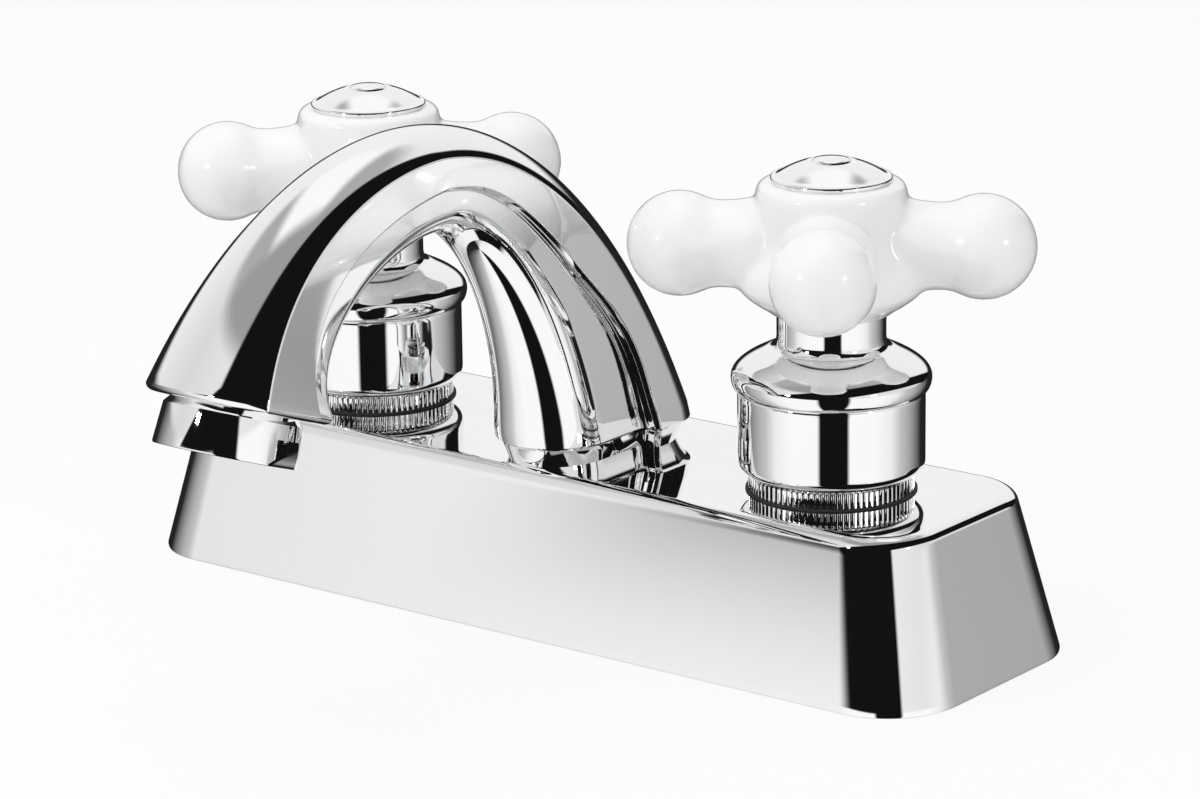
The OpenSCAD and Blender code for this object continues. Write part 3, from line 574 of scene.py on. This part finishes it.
# %% [markdown]
# The spout is one casting. Seen from the side it is an arch between an outer and an inner curve, both cubic. Its
# section is a crowned outer face, two flat cheeks, a small ledge and a narrower rounded belly, and all of these
# change from foot to crest to tip. So the section is worked out anew at each station along the arch. Its corners
# are softened with short curves, because a mirror shows a hard corner as a crack.

# %% Spout curves
SPOUT_HEIGHT, SPOUT_REACH, TIP_HEIGHT, CREST_SETBACK = 94.3, 105.3, 61.9, 53.6
FOOT_LEVEL = DECK + 4
FOOT_FRONT = -(BASE_WIDTH / 2 - SIDE_LEAN + 0.3)
FOOT_BACK = FOOT_FRONT + 39.2
CREST_Y, INNER_CREST_LEVEL = CREST_SETBACK - SPOUT_REACH, SPOUT_HEIGHT - 18.6
INNER_CREST_Y = CREST_Y + 5.9
OUTLET_ANGLE = math.radians(20)
AERATOR_RADIUS, TIP_ROUND = 11.9, 1.2
TIP = Vector((-SPOUT_REACH, TIP_HEIGHT))
TIP_LINE = Vector((math.cos(OUTLET_ANGLE), -math.sin(OUTLET_ANGLE)))
TIP_BACK = TIP + (2 * AERATOR_RADIUS + 1.7) * TIP_LINE
OUTLET = TIP + (AERATOR_RADIUS + 0.2) * TIP_LINE

OUTER_REAR = [(FOOT_BACK, FOOT_LEVEL), (FOOT_BACK - 13.2, FOOT_LEVEL + 37.7), (CREST_Y + 28.8, SPOUT_HEIGHT),
              (CREST_Y, SPOUT_HEIGHT)]
OUTER_FRONT = [(CREST_Y, SPOUT_HEIGHT), (CREST_Y - 20.4, SPOUT_HEIGHT), TIP + Vector((11.4, 21.9)), TIP]
INNER_REAR = [(FOOT_FRONT, FOOT_LEVEL), (FOOT_FRONT, FOOT_LEVEL + 25), (INNER_CREST_Y + 8, INNER_CREST_LEVEL),
              (INNER_CREST_Y, INNER_CREST_LEVEL)]
INNER_FRONT = [(INNER_CREST_Y, INNER_CREST_LEVEL), (INNER_CREST_Y - 17.6, INNER_CREST_LEVEL),
               TIP_BACK + Vector((-1.8, 9)), TIP_BACK]


def cubic(points, share):
    """Point on a cubic curve through four control points."""
    rest = 1 - share
    weights = (rest ** 3, 3 * rest ** 2 * share, 3 * rest * share ** 2, share ** 3)
    return sum((weight * Vector(point) for weight, point in zip(weights, points)), Vector((0, 0)))


def along(run, station):
    """Value of a run (foot, crest, tip, powers to foot and tip) at a station from 0, the foot, to 2, the tip."""
    foot, crest, tip, foot_power, tip_power = run
    if station < 1:
        return crest + (foot - crest) * (1 - station) ** foot_power
    return crest + (tip - crest) * (station - 1) ** tip_power


WALL_DEPTHS = [(0, 17.2), (0.08, 15.9), (0.2, 13.2), (0.24, 13.4), (0.3, 14.2), (0.36, 14.4), (0.45, 13.7),
               (0.58, 12.4), (0.7, 10.9), (0.8, 10), (0.9, 9.9), (1, 10.6), (1.2, 11.6), (1.4, 12), (1.65, 13),
               (1.8, 14.6), (1.9, 16.2), (2, 18.4)]


def rough_depth(station):
    """Depth of the flat cheek, on a curve through the measured depths."""
    for index in range(len(WALL_DEPTHS) - 1):
        (start, low), (end, high) = WALL_DEPTHS[index], WALL_DEPTHS[index + 1]
        if station <= end:
            before = WALL_DEPTHS[max(0, index - 1)]
            after = WALL_DEPTHS[min(len(WALL_DEPTHS) - 1, index + 2)]
            slope_in = (high - before[1]) / (end - before[0])
            slope_out = (after[1] - low) / (after[0] - start)
            share, span = (station - start) / (end - start), end - start
            leave = span * slope_in * (share ** 3 - 2 * share ** 2 + share)
            arrive = span * slope_out * (share ** 3 - share ** 2)
            return low + (high - low) * (3 * share ** 2 - 2 * share ** 3) + leave + arrive
    return WALL_DEPTHS[-1][1]


EVEN_REACH = 0.09


def wall_depth(station):
    """The cheek's depth, evened out over a short way along the arch."""
    reach = min(EVEN_REACH, station, 2 - station)
    return sum(rough_depth(station + reach * step / 4) for step in range(-4, 5)) / 9


print("spout from", round(FOOT_BACK, 1), "to", -SPOUT_REACH, "mm, crest at", SPOUT_HEIGHT, "mm")

# %% [markdown]
# The half section starts at the middle of the crown and ends at the middle of the belly. The first number of each
# point runs across the spout and the second one inwards, away from the crown. A run says how a size changes along
# the arch: its values at the foot, the crest and the tip, and how sharply it changes towards foot and tip.

# %% Spout sections
WIDTH_RUN = (14.4, 8.0, 13.2, 2, 2.6)
CROWN_RUN = (9.6, 4.5, 4.8, 2, 2.6)
CROWN_TURN = (84, 54, 43, 2, 2.6)
LEDGE_RUN = (3.5, 1.45, 0.9, 1.5, 1.5)
BELLY_RUN = (11.2, 5.2, 3.4, 1.5, 1.5)
CROWN_STEPS, FILLET_STEPS, BELLY_STEPS = 18, 5, 14
CROWN_EDGE, LEDGE_EDGE = 0.7, 0.8


def softened(before, corner, after, reach, steps=4):
    """Short curve that takes the place of a corner."""
    start = corner + (before - corner).normalized() * reach
    end = corner + (after - corner).normalized() * reach
    return [(1 - s) ** 2 * start + 2 * s * (1 - s) * corner + s ** 2 * end
            for s in (step / steps for step in range(steps + 1))]


def half_section(station, depth, inset):
    """Half the spout's section at a station, as (across, inwards)."""
    half_width = along(WIDTH_RUN, station) - inset
    crown = along(CROWN_RUN, station)
    turn = math.radians(along(CROWN_TURN, station))
    ledge = along(LEDGE_RUN, station)
    core = half_width - ledge
    step = min(LEDGE_EDGE, 0.35 * ledge)
    fillet = 0.6 * (ledge - step)
    wall = wall_depth(station) - inset
    belly = min(along(BELLY_RUN, station), depth - inset - wall - fillet - 0.2)
    arc = [Vector((half_width * math.sin(a) / math.sin(turn),
                   inset + crown * (1 - math.cos(a)) / (1 - math.cos(turn))))
           for a in (turn * index / CROWN_STEPS for index in range(CROWN_STEPS + 1))]
    cheek_end, ledge_start = Vector((half_width, wall - step)), Vector((half_width - step, wall))
    inner = [Vector((core + fillet * (1 - math.sin(a)), wall + fillet * (1 - math.cos(a))))
             for a in (math.radians(90) * index / FILLET_STEPS for index in range(FILLET_STEPS + 1))]
    edge_reach = min(CROWN_EDGE, 0.45 * (arc[-1] - arc[-2]).length)
    points = arc[:-1] + softened(arc[-2], arc[-1], cheek_end, edge_reach)
    points += softened(arc[-1], cheek_end, ledge_start, 0.35 * step) + softened(
        cheek_end, ledge_start, inner[0], 0.3 * step)
    points += inner
    points += [Vector((core * math.cos(a), depth - inset - belly + belly * math.sin(a)))
               for a in (math.radians(90) * index / BELLY_STEPS for index in range(BELLY_STEPS + 1))]
    return points


def spout_ring(station, inset=0.0, shift=0.0, drop=0.0):
    """Whole section at a station, set between the two curves, in millimetres."""
    outer = cubic(OUTER_REAR, station) if station < 1 else cubic(OUTER_FRONT, station - 1)
    inner = cubic(INNER_REAR, station) if station < 1 else cubic(INNER_FRONT, station - 1)
    inwards = (inner - outer).normalized()
    outwards = Vector((inwards.y, -inwards.x))
    half = half_section(station, (inner - outer).length, inset)
    both = half + [Vector((-point.x, point.y)) for point in half[-2:0:-1]]
    ring = []
    for point in both:
        place = outer + point.y * inwards + shift * outwards
        ring.append((point.x, place.x, place.y - drop))
    return ring


# %% [markdown]
# Below its foot level the column draws in a little towards the deck, in a few rings of the foot's own section, each
# with its drop below that level and its inset. At the tip the outline rolls over a small round into the flat end
# face, where the aerator starts.

# %% Spout
SPOUT_STATIONS, TIP_STEPS = 88, 5
FOOT_DROPS = [(4, 2.16), (3.4, 1.98), (2, 1.53), (0.7, 0.99), (0.2, 0.63), (0, 0.2)]
spout_rings = [spout_ring(0, inset, drop=drop) for drop, inset in FOOT_DROPS]
spout_rings += [spout_ring(2 * index / SPOUT_STATIONS) for index in range(1, SPOUT_STATIONS + 1)]
for step in range(1, TIP_STEPS + 1):
    angle = math.radians(90) * step / TIP_STEPS
    spout_rings.append(spout_ring(2, TIP_ROUND * (1 - math.cos(angle)), TIP_ROUND * math.sin(angle)))
spout = drawn_out("spout_casting", spout_rings)
dress(spout, "spout", crease=50)
apply_modifier(spout, "WEIGHTED_NORMAL", keep_sharp=True)

# %% [markdown]
# The bells, the caps, the aerator ring and the arms and hub of the handles are round, so they are turned: a circle
# is laid on the points of half an outline and spun once round the axis. The outline of a hub or an arm starts and
# ends on the axis, and it is opened there first, so that no face lies inside.

# %% Turning
TURN_STEPS = 128


def turned(name, outline, closed=True, steps=TURN_STEPS):
    """Spins half an outline, given as (radius, height) in millimetres, round the Z axis."""
    clear_selection()
    bpy.ops.mesh.primitive_circle_add(vertices=len(outline), radius=MM)
    piece = bpy.context.object
    piece.name = piece.data.name = name
    for vertex, (radius, height) in zip(piece.data.vertices, outline):
        vertex.co = Vector((radius, 0, height)) * MM
    bpy.ops.object.mode_set(mode="EDIT")
    if not closed:
        bpy.ops.mesh.select_mode(type="EDGE")
        bpy.ops.mesh.select_all(action="DESELECT")
        mesh = bmesh.from_edit_mesh(piece.data)
        ends = {0, len(outline) - 1}
        for edge in mesh.edges:
            edge.select_set({vertex.index for vertex in edge.verts} == ends)
        bmesh.update_edit_mesh(piece.data)
        bpy.ops.mesh.delete(type="EDGE_FACE")
    bpy.ops.mesh.select_all(action="SELECT")
    bpy.ops.mesh.spin(steps=steps, angle=math.tau, center=(0, 0, 0), axis=(0, 0, 1))
    bpy.ops.mesh.select_all(action="SELECT")
    bpy.ops.mesh.remove_doubles(threshold=0.004 * MM)
    bpy.ops.mesh.normals_make_consistent(inside=False)
    bpy.ops.object.mode_set(mode="OBJECT")
    return piece


def arc_points(centre, radii, start, end, steps):
    """Points on an arc of an ellipse, as (radius, height)."""
    angles = (math.radians(start + (end - start) * step / steps) for step in range(steps + 1))
    return [(centre[0] + radii[0] * math.cos(a), centre[1] + radii[1] * math.sin(a)) for a in angles]


# %% [markdown]
# The aerator ring screws into the tip. It is a plain chromed ring, a little wider at its foot, with a chamfer
# under the tip and two flats near its foot for a spanner. A Boolean with two boxes cuts the flats after turning.

# %% Aerator ring
AERATOR_LENGTH, AERATOR_TAPER, AERATOR_WALL = 8.0, 0.5, 2.2
FLAT_DEPTH, FLAT_HEIGHT, FLAT_ANGLE = 0.9, 4.4, math.radians(8)
ring_foot = -TIP_ROUND - AERATOR_LENGTH
bore = AERATOR_RADIUS - AERATOR_WALL
ring_outline = [(bore - 1, ring_foot + 0.2), (bore - 0.8, ring_foot), (AERATOR_RADIUS - 0.3, ring_foot),
                (AERATOR_RADIUS - 0.08, ring_foot + 0.08), (AERATOR_RADIUS, ring_foot + 0.3),
                (AERATOR_RADIUS - AERATOR_TAPER, -TIP_ROUND - 1.1),
                (AERATOR_RADIUS - AERATOR_TAPER - 0.15, -TIP_ROUND - 0.95), (AERATOR_RADIUS - 1.45, -TIP_ROUND),
                (AERATOR_RADIUS - 1.5, 3.8), (bore, 3.8), (bore, ring_foot + 1.2), (bore - 1, ring_foot + 1.2)]
aerator = turned("aerator_ring", ring_outline)
for side in (0, math.pi):
    clear_selection()
    bpy.ops.mesh.primitive_cube_add(size=1)
    cutter = bpy.context.object
    cutter.scale = Vector((2 * FLAT_DEPTH, 2 * AERATOR_RADIUS, FLAT_HEIGHT + 1)) * MM
    cutter.location = Matrix.Rotation(FLAT_ANGLE + side, 3, "Z") @ Vector(
        (AERATOR_RADIUS, 0, ring_foot + (FLAT_HEIGHT - 1) / 2)) * MM
    cutter.rotation_euler.z = FLAT_ANGLE + side
    apply_modifier(aerator, "BOOLEAN", object=cutter, operation="DIFFERENCE", solver="EXACT")
    bpy.data.objects.remove(cutter)
set_in_place(aerator, tilt=-OUTLET_ANGLE, move=Vector((0, OUTLET.x, OUTLET.y)) * MM)
dress(aerator, "aerator_housing")

# %% [markdown]
# A knurled nut clamps each valve body to the deck. Its fine upright ribs are what the hand or a strap wrench
# grips. They are part of the outline here: the ring's radius dips between two ribs, and the rings at both ends are
# a little smaller, which chamfers the ribs. A smooth collar above them goes up into the bell.

# %% Knurled nuts
VALVE_X = 50.8
KNURL_RADIUS, KNURL_HEIGHT, KNURL_RIBS, KNURL_DEPTH = 14.2, 3.3, 84, 0.5
RIB_CHAMFER, CHAMFER_HEIGHT, COLLAR_HEIGHT = 0.45, 0.35, 2
RIB_SHAPE = (1, 0.94, 0.35, 0, 0.35, 0.94)


def knurl_ring(height, shrink, relief=1.0):
    """Outline of the knurled band at a height."""
    count = KNURL_RIBS * len(RIB_SHAPE)
    ring = []
    for index in range(count):
        angle = math.tau * index / count
        radius = KNURL_RADIUS - shrink - KNURL_DEPTH * relief * (1 - RIB_SHAPE[index % len(RIB_SHAPE)])
        ring.append((radius * math.cos(angle), radius * math.sin(angle), height))
    return ring


nut_top = DECK + KNURL_HEIGHT
knurl_rings = [knurl_ring(DECK, RIB_CHAMFER, 0.2), knurl_ring(DECK + CHAMFER_HEIGHT, 0),
               knurl_ring(nut_top - CHAMFER_HEIGHT, 0), knurl_ring(nut_top - 0.02, RIB_CHAMFER, 0.2),
               knurl_ring(nut_top - 0.02, 1.2, 0), knurl_ring(nut_top + COLLAR_HEIGHT, 1.3, 0)]
hot_nut = drawn_out("hot_knurl", knurl_rings)
cold_nut = twin(hot_nut, "cold_knurl")
for nut, side, name in ((hot_nut, -1, "hot_knurled_nut"), (cold_nut, 1, "cold_knurled_nut")):
    set_in_place(nut, move=(side * VALVE_X * MM, 0, 0))
    dress(nut, name)

# %% [markdown]
# A thin black ring lies between each nut and the deck, which draws a dark line at the foot of the knurl. It is
# turned from a small outline that is rounded on the outside. No solid of the frame stands for it, so it only rides
# on the tap's body.

# %% Nut rings
DARK_RING_BORE, DARK_RING_RADIUS, DARK_RING_HEIGHT, DARK_RING_ROUND, DARK_RING_SEAT = 13.2, 14.7, 0.3, 0.1, 0.02
dark_ring_foot, dark_ring_top = DECK - DARK_RING_SEAT, DECK + DARK_RING_HEIGHT
ring_section = [(DARK_RING_BORE, dark_ring_foot), (DARK_RING_RADIUS - DARK_RING_ROUND, dark_ring_foot),
                (DARK_RING_RADIUS, dark_ring_foot + DARK_RING_ROUND), (DARK_RING_RADIUS, dark_ring_top - DARK_RING_ROUND),
                (DARK_RING_RADIUS - DARK_RING_ROUND, dark_ring_top), (DARK_RING_BORE, dark_ring_top)]
for side, name in ((-1, "hot_nut_ring"), (1, "cold_nut_ring")):
    nut_ring = turned(name, ring_section, steps=96)
    set_in_place(nut_ring, move=(side * VALVE_X * MM, 0, 0))
    bpy.ops.object.shade_smooth_by_angle(angle=math.radians(40))
    nut_ring.data.materials.append(FINISHES["rubber"])
    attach(nut_ring, "tap_body")
    print(nut_ring.name, len(nut_ring.data.polygons), "faces")

# %% [markdown]
# A bell covers each valve: a straight skirt with a rounded foot, a fine groove, a rolled rim, a sloping shoulder
# and a neck that goes up into the handle. It is a thin turned shell, so its outline runs up the outside and comes
# back down the inside. Most of its curves are short arcs of ellipses.

# %% Bells
BELL_RADIUS, RIM_RADIUS, NECK_RADIUS, NECK_TOP = 16.0, 17.1, 9.3, DECK + 31.8
GROOVE_LEVEL = nut_top + 14.3
RIM_LEVEL, SHOULDER_TOP = GROOVE_LEVEL + 2.3, GROOVE_LEVEL + 7.3
BELL_WALL, FOOT_ROUND, GROOVE_DEPTH, NECK_WALL, FILLET, RIM_STEPS = 2.4, 2, 0.2, 1.4, 1.6, 10
shoulder_curve = [(RIM_RADIUS, RIM_LEVEL), (RIM_RADIUS, RIM_LEVEL + 2), (RIM_RADIUS - 2.7, RIM_LEVEL + 3.5),
                  (NECK_RADIUS + FILLET, SHOULDER_TOP)]
bell_outline = [(BELL_RADIUS - BELL_WALL, nut_top)]
bell_outline += arc_points((BELL_RADIUS - FOOT_ROUND, nut_top + FOOT_ROUND), (FOOT_ROUND, FOOT_ROUND), -90, 0, 8)
bell_outline += [(BELL_RADIUS, nut_top + 3), (BELL_RADIUS, GROOVE_LEVEL - 1), (BELL_RADIUS, GROOVE_LEVEL - 0.25),
                 (BELL_RADIUS - GROOVE_DEPTH, GROOVE_LEVEL)]
rim_rise = RIM_LEVEL - GROOVE_LEVEL
rim_reach = RIM_RADIUS - BELL_RADIUS + GROOVE_DEPTH
bell_outline += arc_points((BELL_RADIUS - GROOVE_DEPTH, RIM_LEVEL), (rim_reach, rim_rise), -90, 0, RIM_STEPS)[1:-1]
bell_outline += [tuple(cubic(shoulder_curve, step / 16)) for step in range(17)]
fillet_rise = 1.4 * FILLET
bell_outline += arc_points((NECK_RADIUS + FILLET, SHOULDER_TOP + fillet_rise), (FILLET, fillet_rise), -99, -180, 9)
bell_outline += [(NECK_RADIUS, SHOULDER_TOP + 2.8), (NECK_RADIUS, NECK_TOP - 0.4),
                 (NECK_RADIUS - 0.1, NECK_TOP - 0.1), (NECK_RADIUS - 0.4, NECK_TOP),
                 (NECK_RADIUS - NECK_WALL, NECK_TOP), (NECK_RADIUS - NECK_WALL, SHOULDER_TOP - 1.8),
                 (BELL_RADIUS - BELL_WALL, RIM_LEVEL - 0.5)]
hot_bell = turned("hot_bell_cover", bell_outline)
cold_bell = twin(hot_bell, "cold_bell_cover")
for bell, side, name in ((hot_bell, -1, "hot_bell"), (cold_bell, 1, "cold_bell")):
    set_in_place(bell, move=(side * VALVE_X * MM, 0, 0))
    dress(bell, name, crease=40)
    apply_modifier(bell, "WEIGHTED_NORMAL", keep_sharp=True)

# %% [markdown]
# Each handle is one piece of porcelain: a hub that flares into four arms with round ends. Slip-cast porcelain has
# no sharp inside corners. So hub and arms are turned first, then joined, remeshed to one skin and smoothed until
# the corners flow. The hub's outline starts at its foot, swells into a bowl where the arms leave it, and narrows
# again to the rim that holds the cap.

# %% Hub outline
ARM_LEVEL, HUB_FOOT, HUB_TOP = DECK + 42.7, DECK + 31.0, DECK + 53.9
HUB_RADIUS, BOWL_RADIUS, SKIRT_RADIUS, HUB_EDGE = 12.8, 16.0, 10.3, 1.9
bowl_level = ARM_LEVEL - 6.8
hub_outline = [(0, HUB_FOOT), (SKIRT_RADIUS, HUB_FOOT)]
hub_outline += [tuple(cubic([(SKIRT_RADIUS, HUB_FOOT + 0.4), (SKIRT_RADIUS + 1.6, HUB_FOOT + 1.5),
                             (BOWL_RADIUS - 1.2, bowl_level - 2), (BOWL_RADIUS, bowl_level)], step / 8))
                for step in range(9)]
hub_outline += [tuple(cubic([(BOWL_RADIUS, bowl_level), (BOWL_RADIUS + 1, bowl_level + 4),
                             (HUB_RADIUS + 0.4, bowl_level + 6), (HUB_RADIUS, bowl_level + 10)], step / 8))
                for step in range(1, 9)]
hub_outline += arc_points((HUB_RADIUS - HUB_EDGE, HUB_TOP - HUB_EDGE), (HUB_EDGE, HUB_EDGE), 0, 90, 6)
hub_outline += [(0, HUB_TOP)]
print("hub from", round(HUB_FOOT, 1), "to", round(HUB_TOP, 1), "mm,", len(hub_outline), "points")

# %% [markdown]
# An arm leaves the hub thick, thins to a waist and ends in a ball. Its outline is drawn along the arm: two cubic
# curves up to the point where the ball's arc takes over, then the arc itself.

# %% Arm outline
ARM_REACH, ARM_END_RADIUS, ARM_WAIST_RADIUS = 34.6, 9.0, 7.4
ARM_START, ARM_ROOT, ARM_ROOT_RADIUS, ARM_WAIST = 2, 9.6, 8.4, 18.5
BLEND_ANGLE = 115
arm_end = ARM_REACH - ARM_END_RADIUS
blend = Vector((arm_end + ARM_END_RADIUS * math.cos(math.radians(BLEND_ANGLE)),
                ARM_END_RADIUS * math.sin(math.radians(BLEND_ANGLE))))
arm_line = [Vector((ARM_START, 0)), Vector((ARM_START, ARM_ROOT_RADIUS)), Vector((ARM_ROOT, ARM_ROOT_RADIUS))]
arm_line += [cubic([(ARM_ROOT, ARM_ROOT_RADIUS), (ARM_ROOT + 4, ARM_ROOT_RADIUS - 0.4),
                    (ARM_WAIST - 3, ARM_WAIST_RADIUS), (ARM_WAIST, ARM_WAIST_RADIUS)], step / 8)
             for step in range(1, 9)]
arm_line += [cubic([(ARM_WAIST, ARM_WAIST_RADIUS), (ARM_WAIST + 1.4, ARM_WAIST_RADIUS), blend - Vector((1.2, 0.56)),
                    blend], step / 8) for step in range(1, 8)]
arm_line += [Vector(point) for point in arc_points((arm_end, 0), (ARM_END_RADIUS,) * 2, BLEND_ANGLE, 0, 24)]
arm_outline = [(point.y, point.x) for point in arm_line]
print("arm outline", len(arm_outline), "points")

# %% [markdown]
# The arm is turned round its own axis four times over, each time laid level and turned a quarter more. Join only
# puts the five meshes into one object, with walls inside. The voxel remesh keeps the outer skin alone, and Smooth
# rounds every inside corner.

# %% Porcelain skin
hub = turned("hot_cross", hub_outline, closed=False, steps=96)
arms = []
for quarter in range(4):
    arm = turned("arm", arm_outline, closed=False, steps=64)
    choose(arm)
    arm.rotation_euler = (0, math.radians(90), math.radians(90) * quarter)
    arm.location = (0, 0, ARM_LEVEL * MM)
    bpy.ops.object.transform_apply(location=True, rotation=True, scale=True)
    arms.append(arm)
choose(hub)
for arm in arms:
    arm.select_set(True)
bpy.ops.object.join()
hub = bpy.context.object
PORCELAIN_SKIN, SMOOTH_ROUNDS = 0.5, 14
apply_modifier(hub, "REMESH", mode="VOXEL", voxel_size=PORCELAIN_SKIN * MM, adaptivity=0)
apply_modifier(hub, "SMOOTH", factor=0.5, iterations=SMOOTH_ROUNDS)
print("handle skin", len(hub.data.polygons), "faces")

# %% [markdown]
# A Boolean cuts the round recess in the hub's foot, which takes the neck of the bell. Then the second handle is
# copied from the first, and each is turned to where it stands in the photograph.

# %% Neck recess
RECESS_RADIUS, RECESS_TOP, CUTTER_LENGTH = NECK_RADIUS + 0.3, NECK_TOP + 0.8, 6
clear_selection()
bpy.ops.mesh.primitive_cylinder_add(vertices=96, radius=RECESS_RADIUS * MM, depth=CUTTER_LENGTH * MM,
                                    location=(0, 0, (RECESS_TOP - CUTTER_LENGTH / 2) * MM))
cutter = bpy.context.object
apply_modifier(hub, "BOOLEAN", object=cutter, operation="DIFFERENCE", solver="EXACT")
bpy.data.objects.remove(cutter)
HOT_REST, COLD_REST = math.radians(43), math.radians(32)
cold_handle = twin(hub, "cold_cross")
for handle, side, rest, name in ((hub, -1, HOT_REST, "hot_handle"), (cold_handle, 1, COLD_REST, "cold_handle")):
    set_in_place(handle, turn=rest, move=(side * VALVE_X * MM, 0, 0))
    dress(handle, name, crease=60)

# %% [markdown]
# A chromed cap closes the top of each hub and hides the screw. It has a narrow flat rim, a low dome, and a small
# raised button in the middle with a fine groove round it. Below its rim a short plug goes down into the hub.

# %% Caps
CAP_RADIUS, CAP_RIM, CAP_EDGE, CAP_DOME, BUTTON_RADIUS, BUTTON_RISE = 10.3, 0.9, 0.45, 2.9, 3.2, 0.12
PLUG_BORE, PLUG_RADIUS, PLUG_DEPTH, CAP_SEAT = 7.7, 8.9, 5, 0.02
dome_foot = CAP_RADIUS - 0.9
dome_radius = (dome_foot ** 2 + CAP_DOME ** 2) / (2 * CAP_DOME)


def dome_height(radius):
    """Height of the cap's dome at a distance from the axis."""
    return HUB_TOP + CAP_RIM + CAP_DOME - dome_radius + math.sqrt(dome_radius ** 2 - radius ** 2)


cap_outline = [(PLUG_BORE, HUB_TOP - PLUG_DEPTH), (PLUG_RADIUS, HUB_TOP - PLUG_DEPTH),
               (PLUG_RADIUS, HUB_TOP - CAP_SEAT), (CAP_RADIUS - 0.15, HUB_TOP - CAP_SEAT)]
cap_outline += arc_points((CAP_RADIUS - CAP_EDGE, HUB_TOP + CAP_RIM - CAP_EDGE), (CAP_EDGE, CAP_EDGE), 0, 90, 5)
cap_outline += [(dome_foot + 0.2, HUB_TOP + CAP_RIM - 0.02), (dome_foot - 0.05, HUB_TOP + CAP_RIM + 0.06)]
cap_outline += [(radius, dome_height(radius)) for radius in (8.8, 8, 7, 6, 5, 4.3, 3.9)]
cap_outline += [(BUTTON_RADIUS + 0.35, dome_height(3.5) - 0.22), (BUTTON_RADIUS + 0.1, dome_height(3.3) - 0.25),
                (BUTTON_RADIUS - 0.05, dome_height(3.2) - 0.05), (BUTTON_RADIUS - 0.25, dome_height(3) + 0.1)]
cap_outline += [(radius, dome_height(radius) + BUTTON_RISE) for radius in (2.4, 1.6, 0.8, 0)]
cap_outline += [(0, HUB_TOP + 0.4), (PLUG_BORE, HUB_TOP + 0.4)]
hot_cap = turned("hot_button", cap_outline)
cold_cap = twin(hot_cap, "cold_button")
for cap, side, name in ((hot_cap, -1, "hot_cap"), (cold_cap, 1, "cold_cap")):
    set_in_place(cap, move=(side * VALVE_X * MM, 0, 0))
    dress(cap, name, crease=35)

# %% [markdown]
# Last, the view layer is brought up to date.

# %% End
bpy.context.view_layer.update()
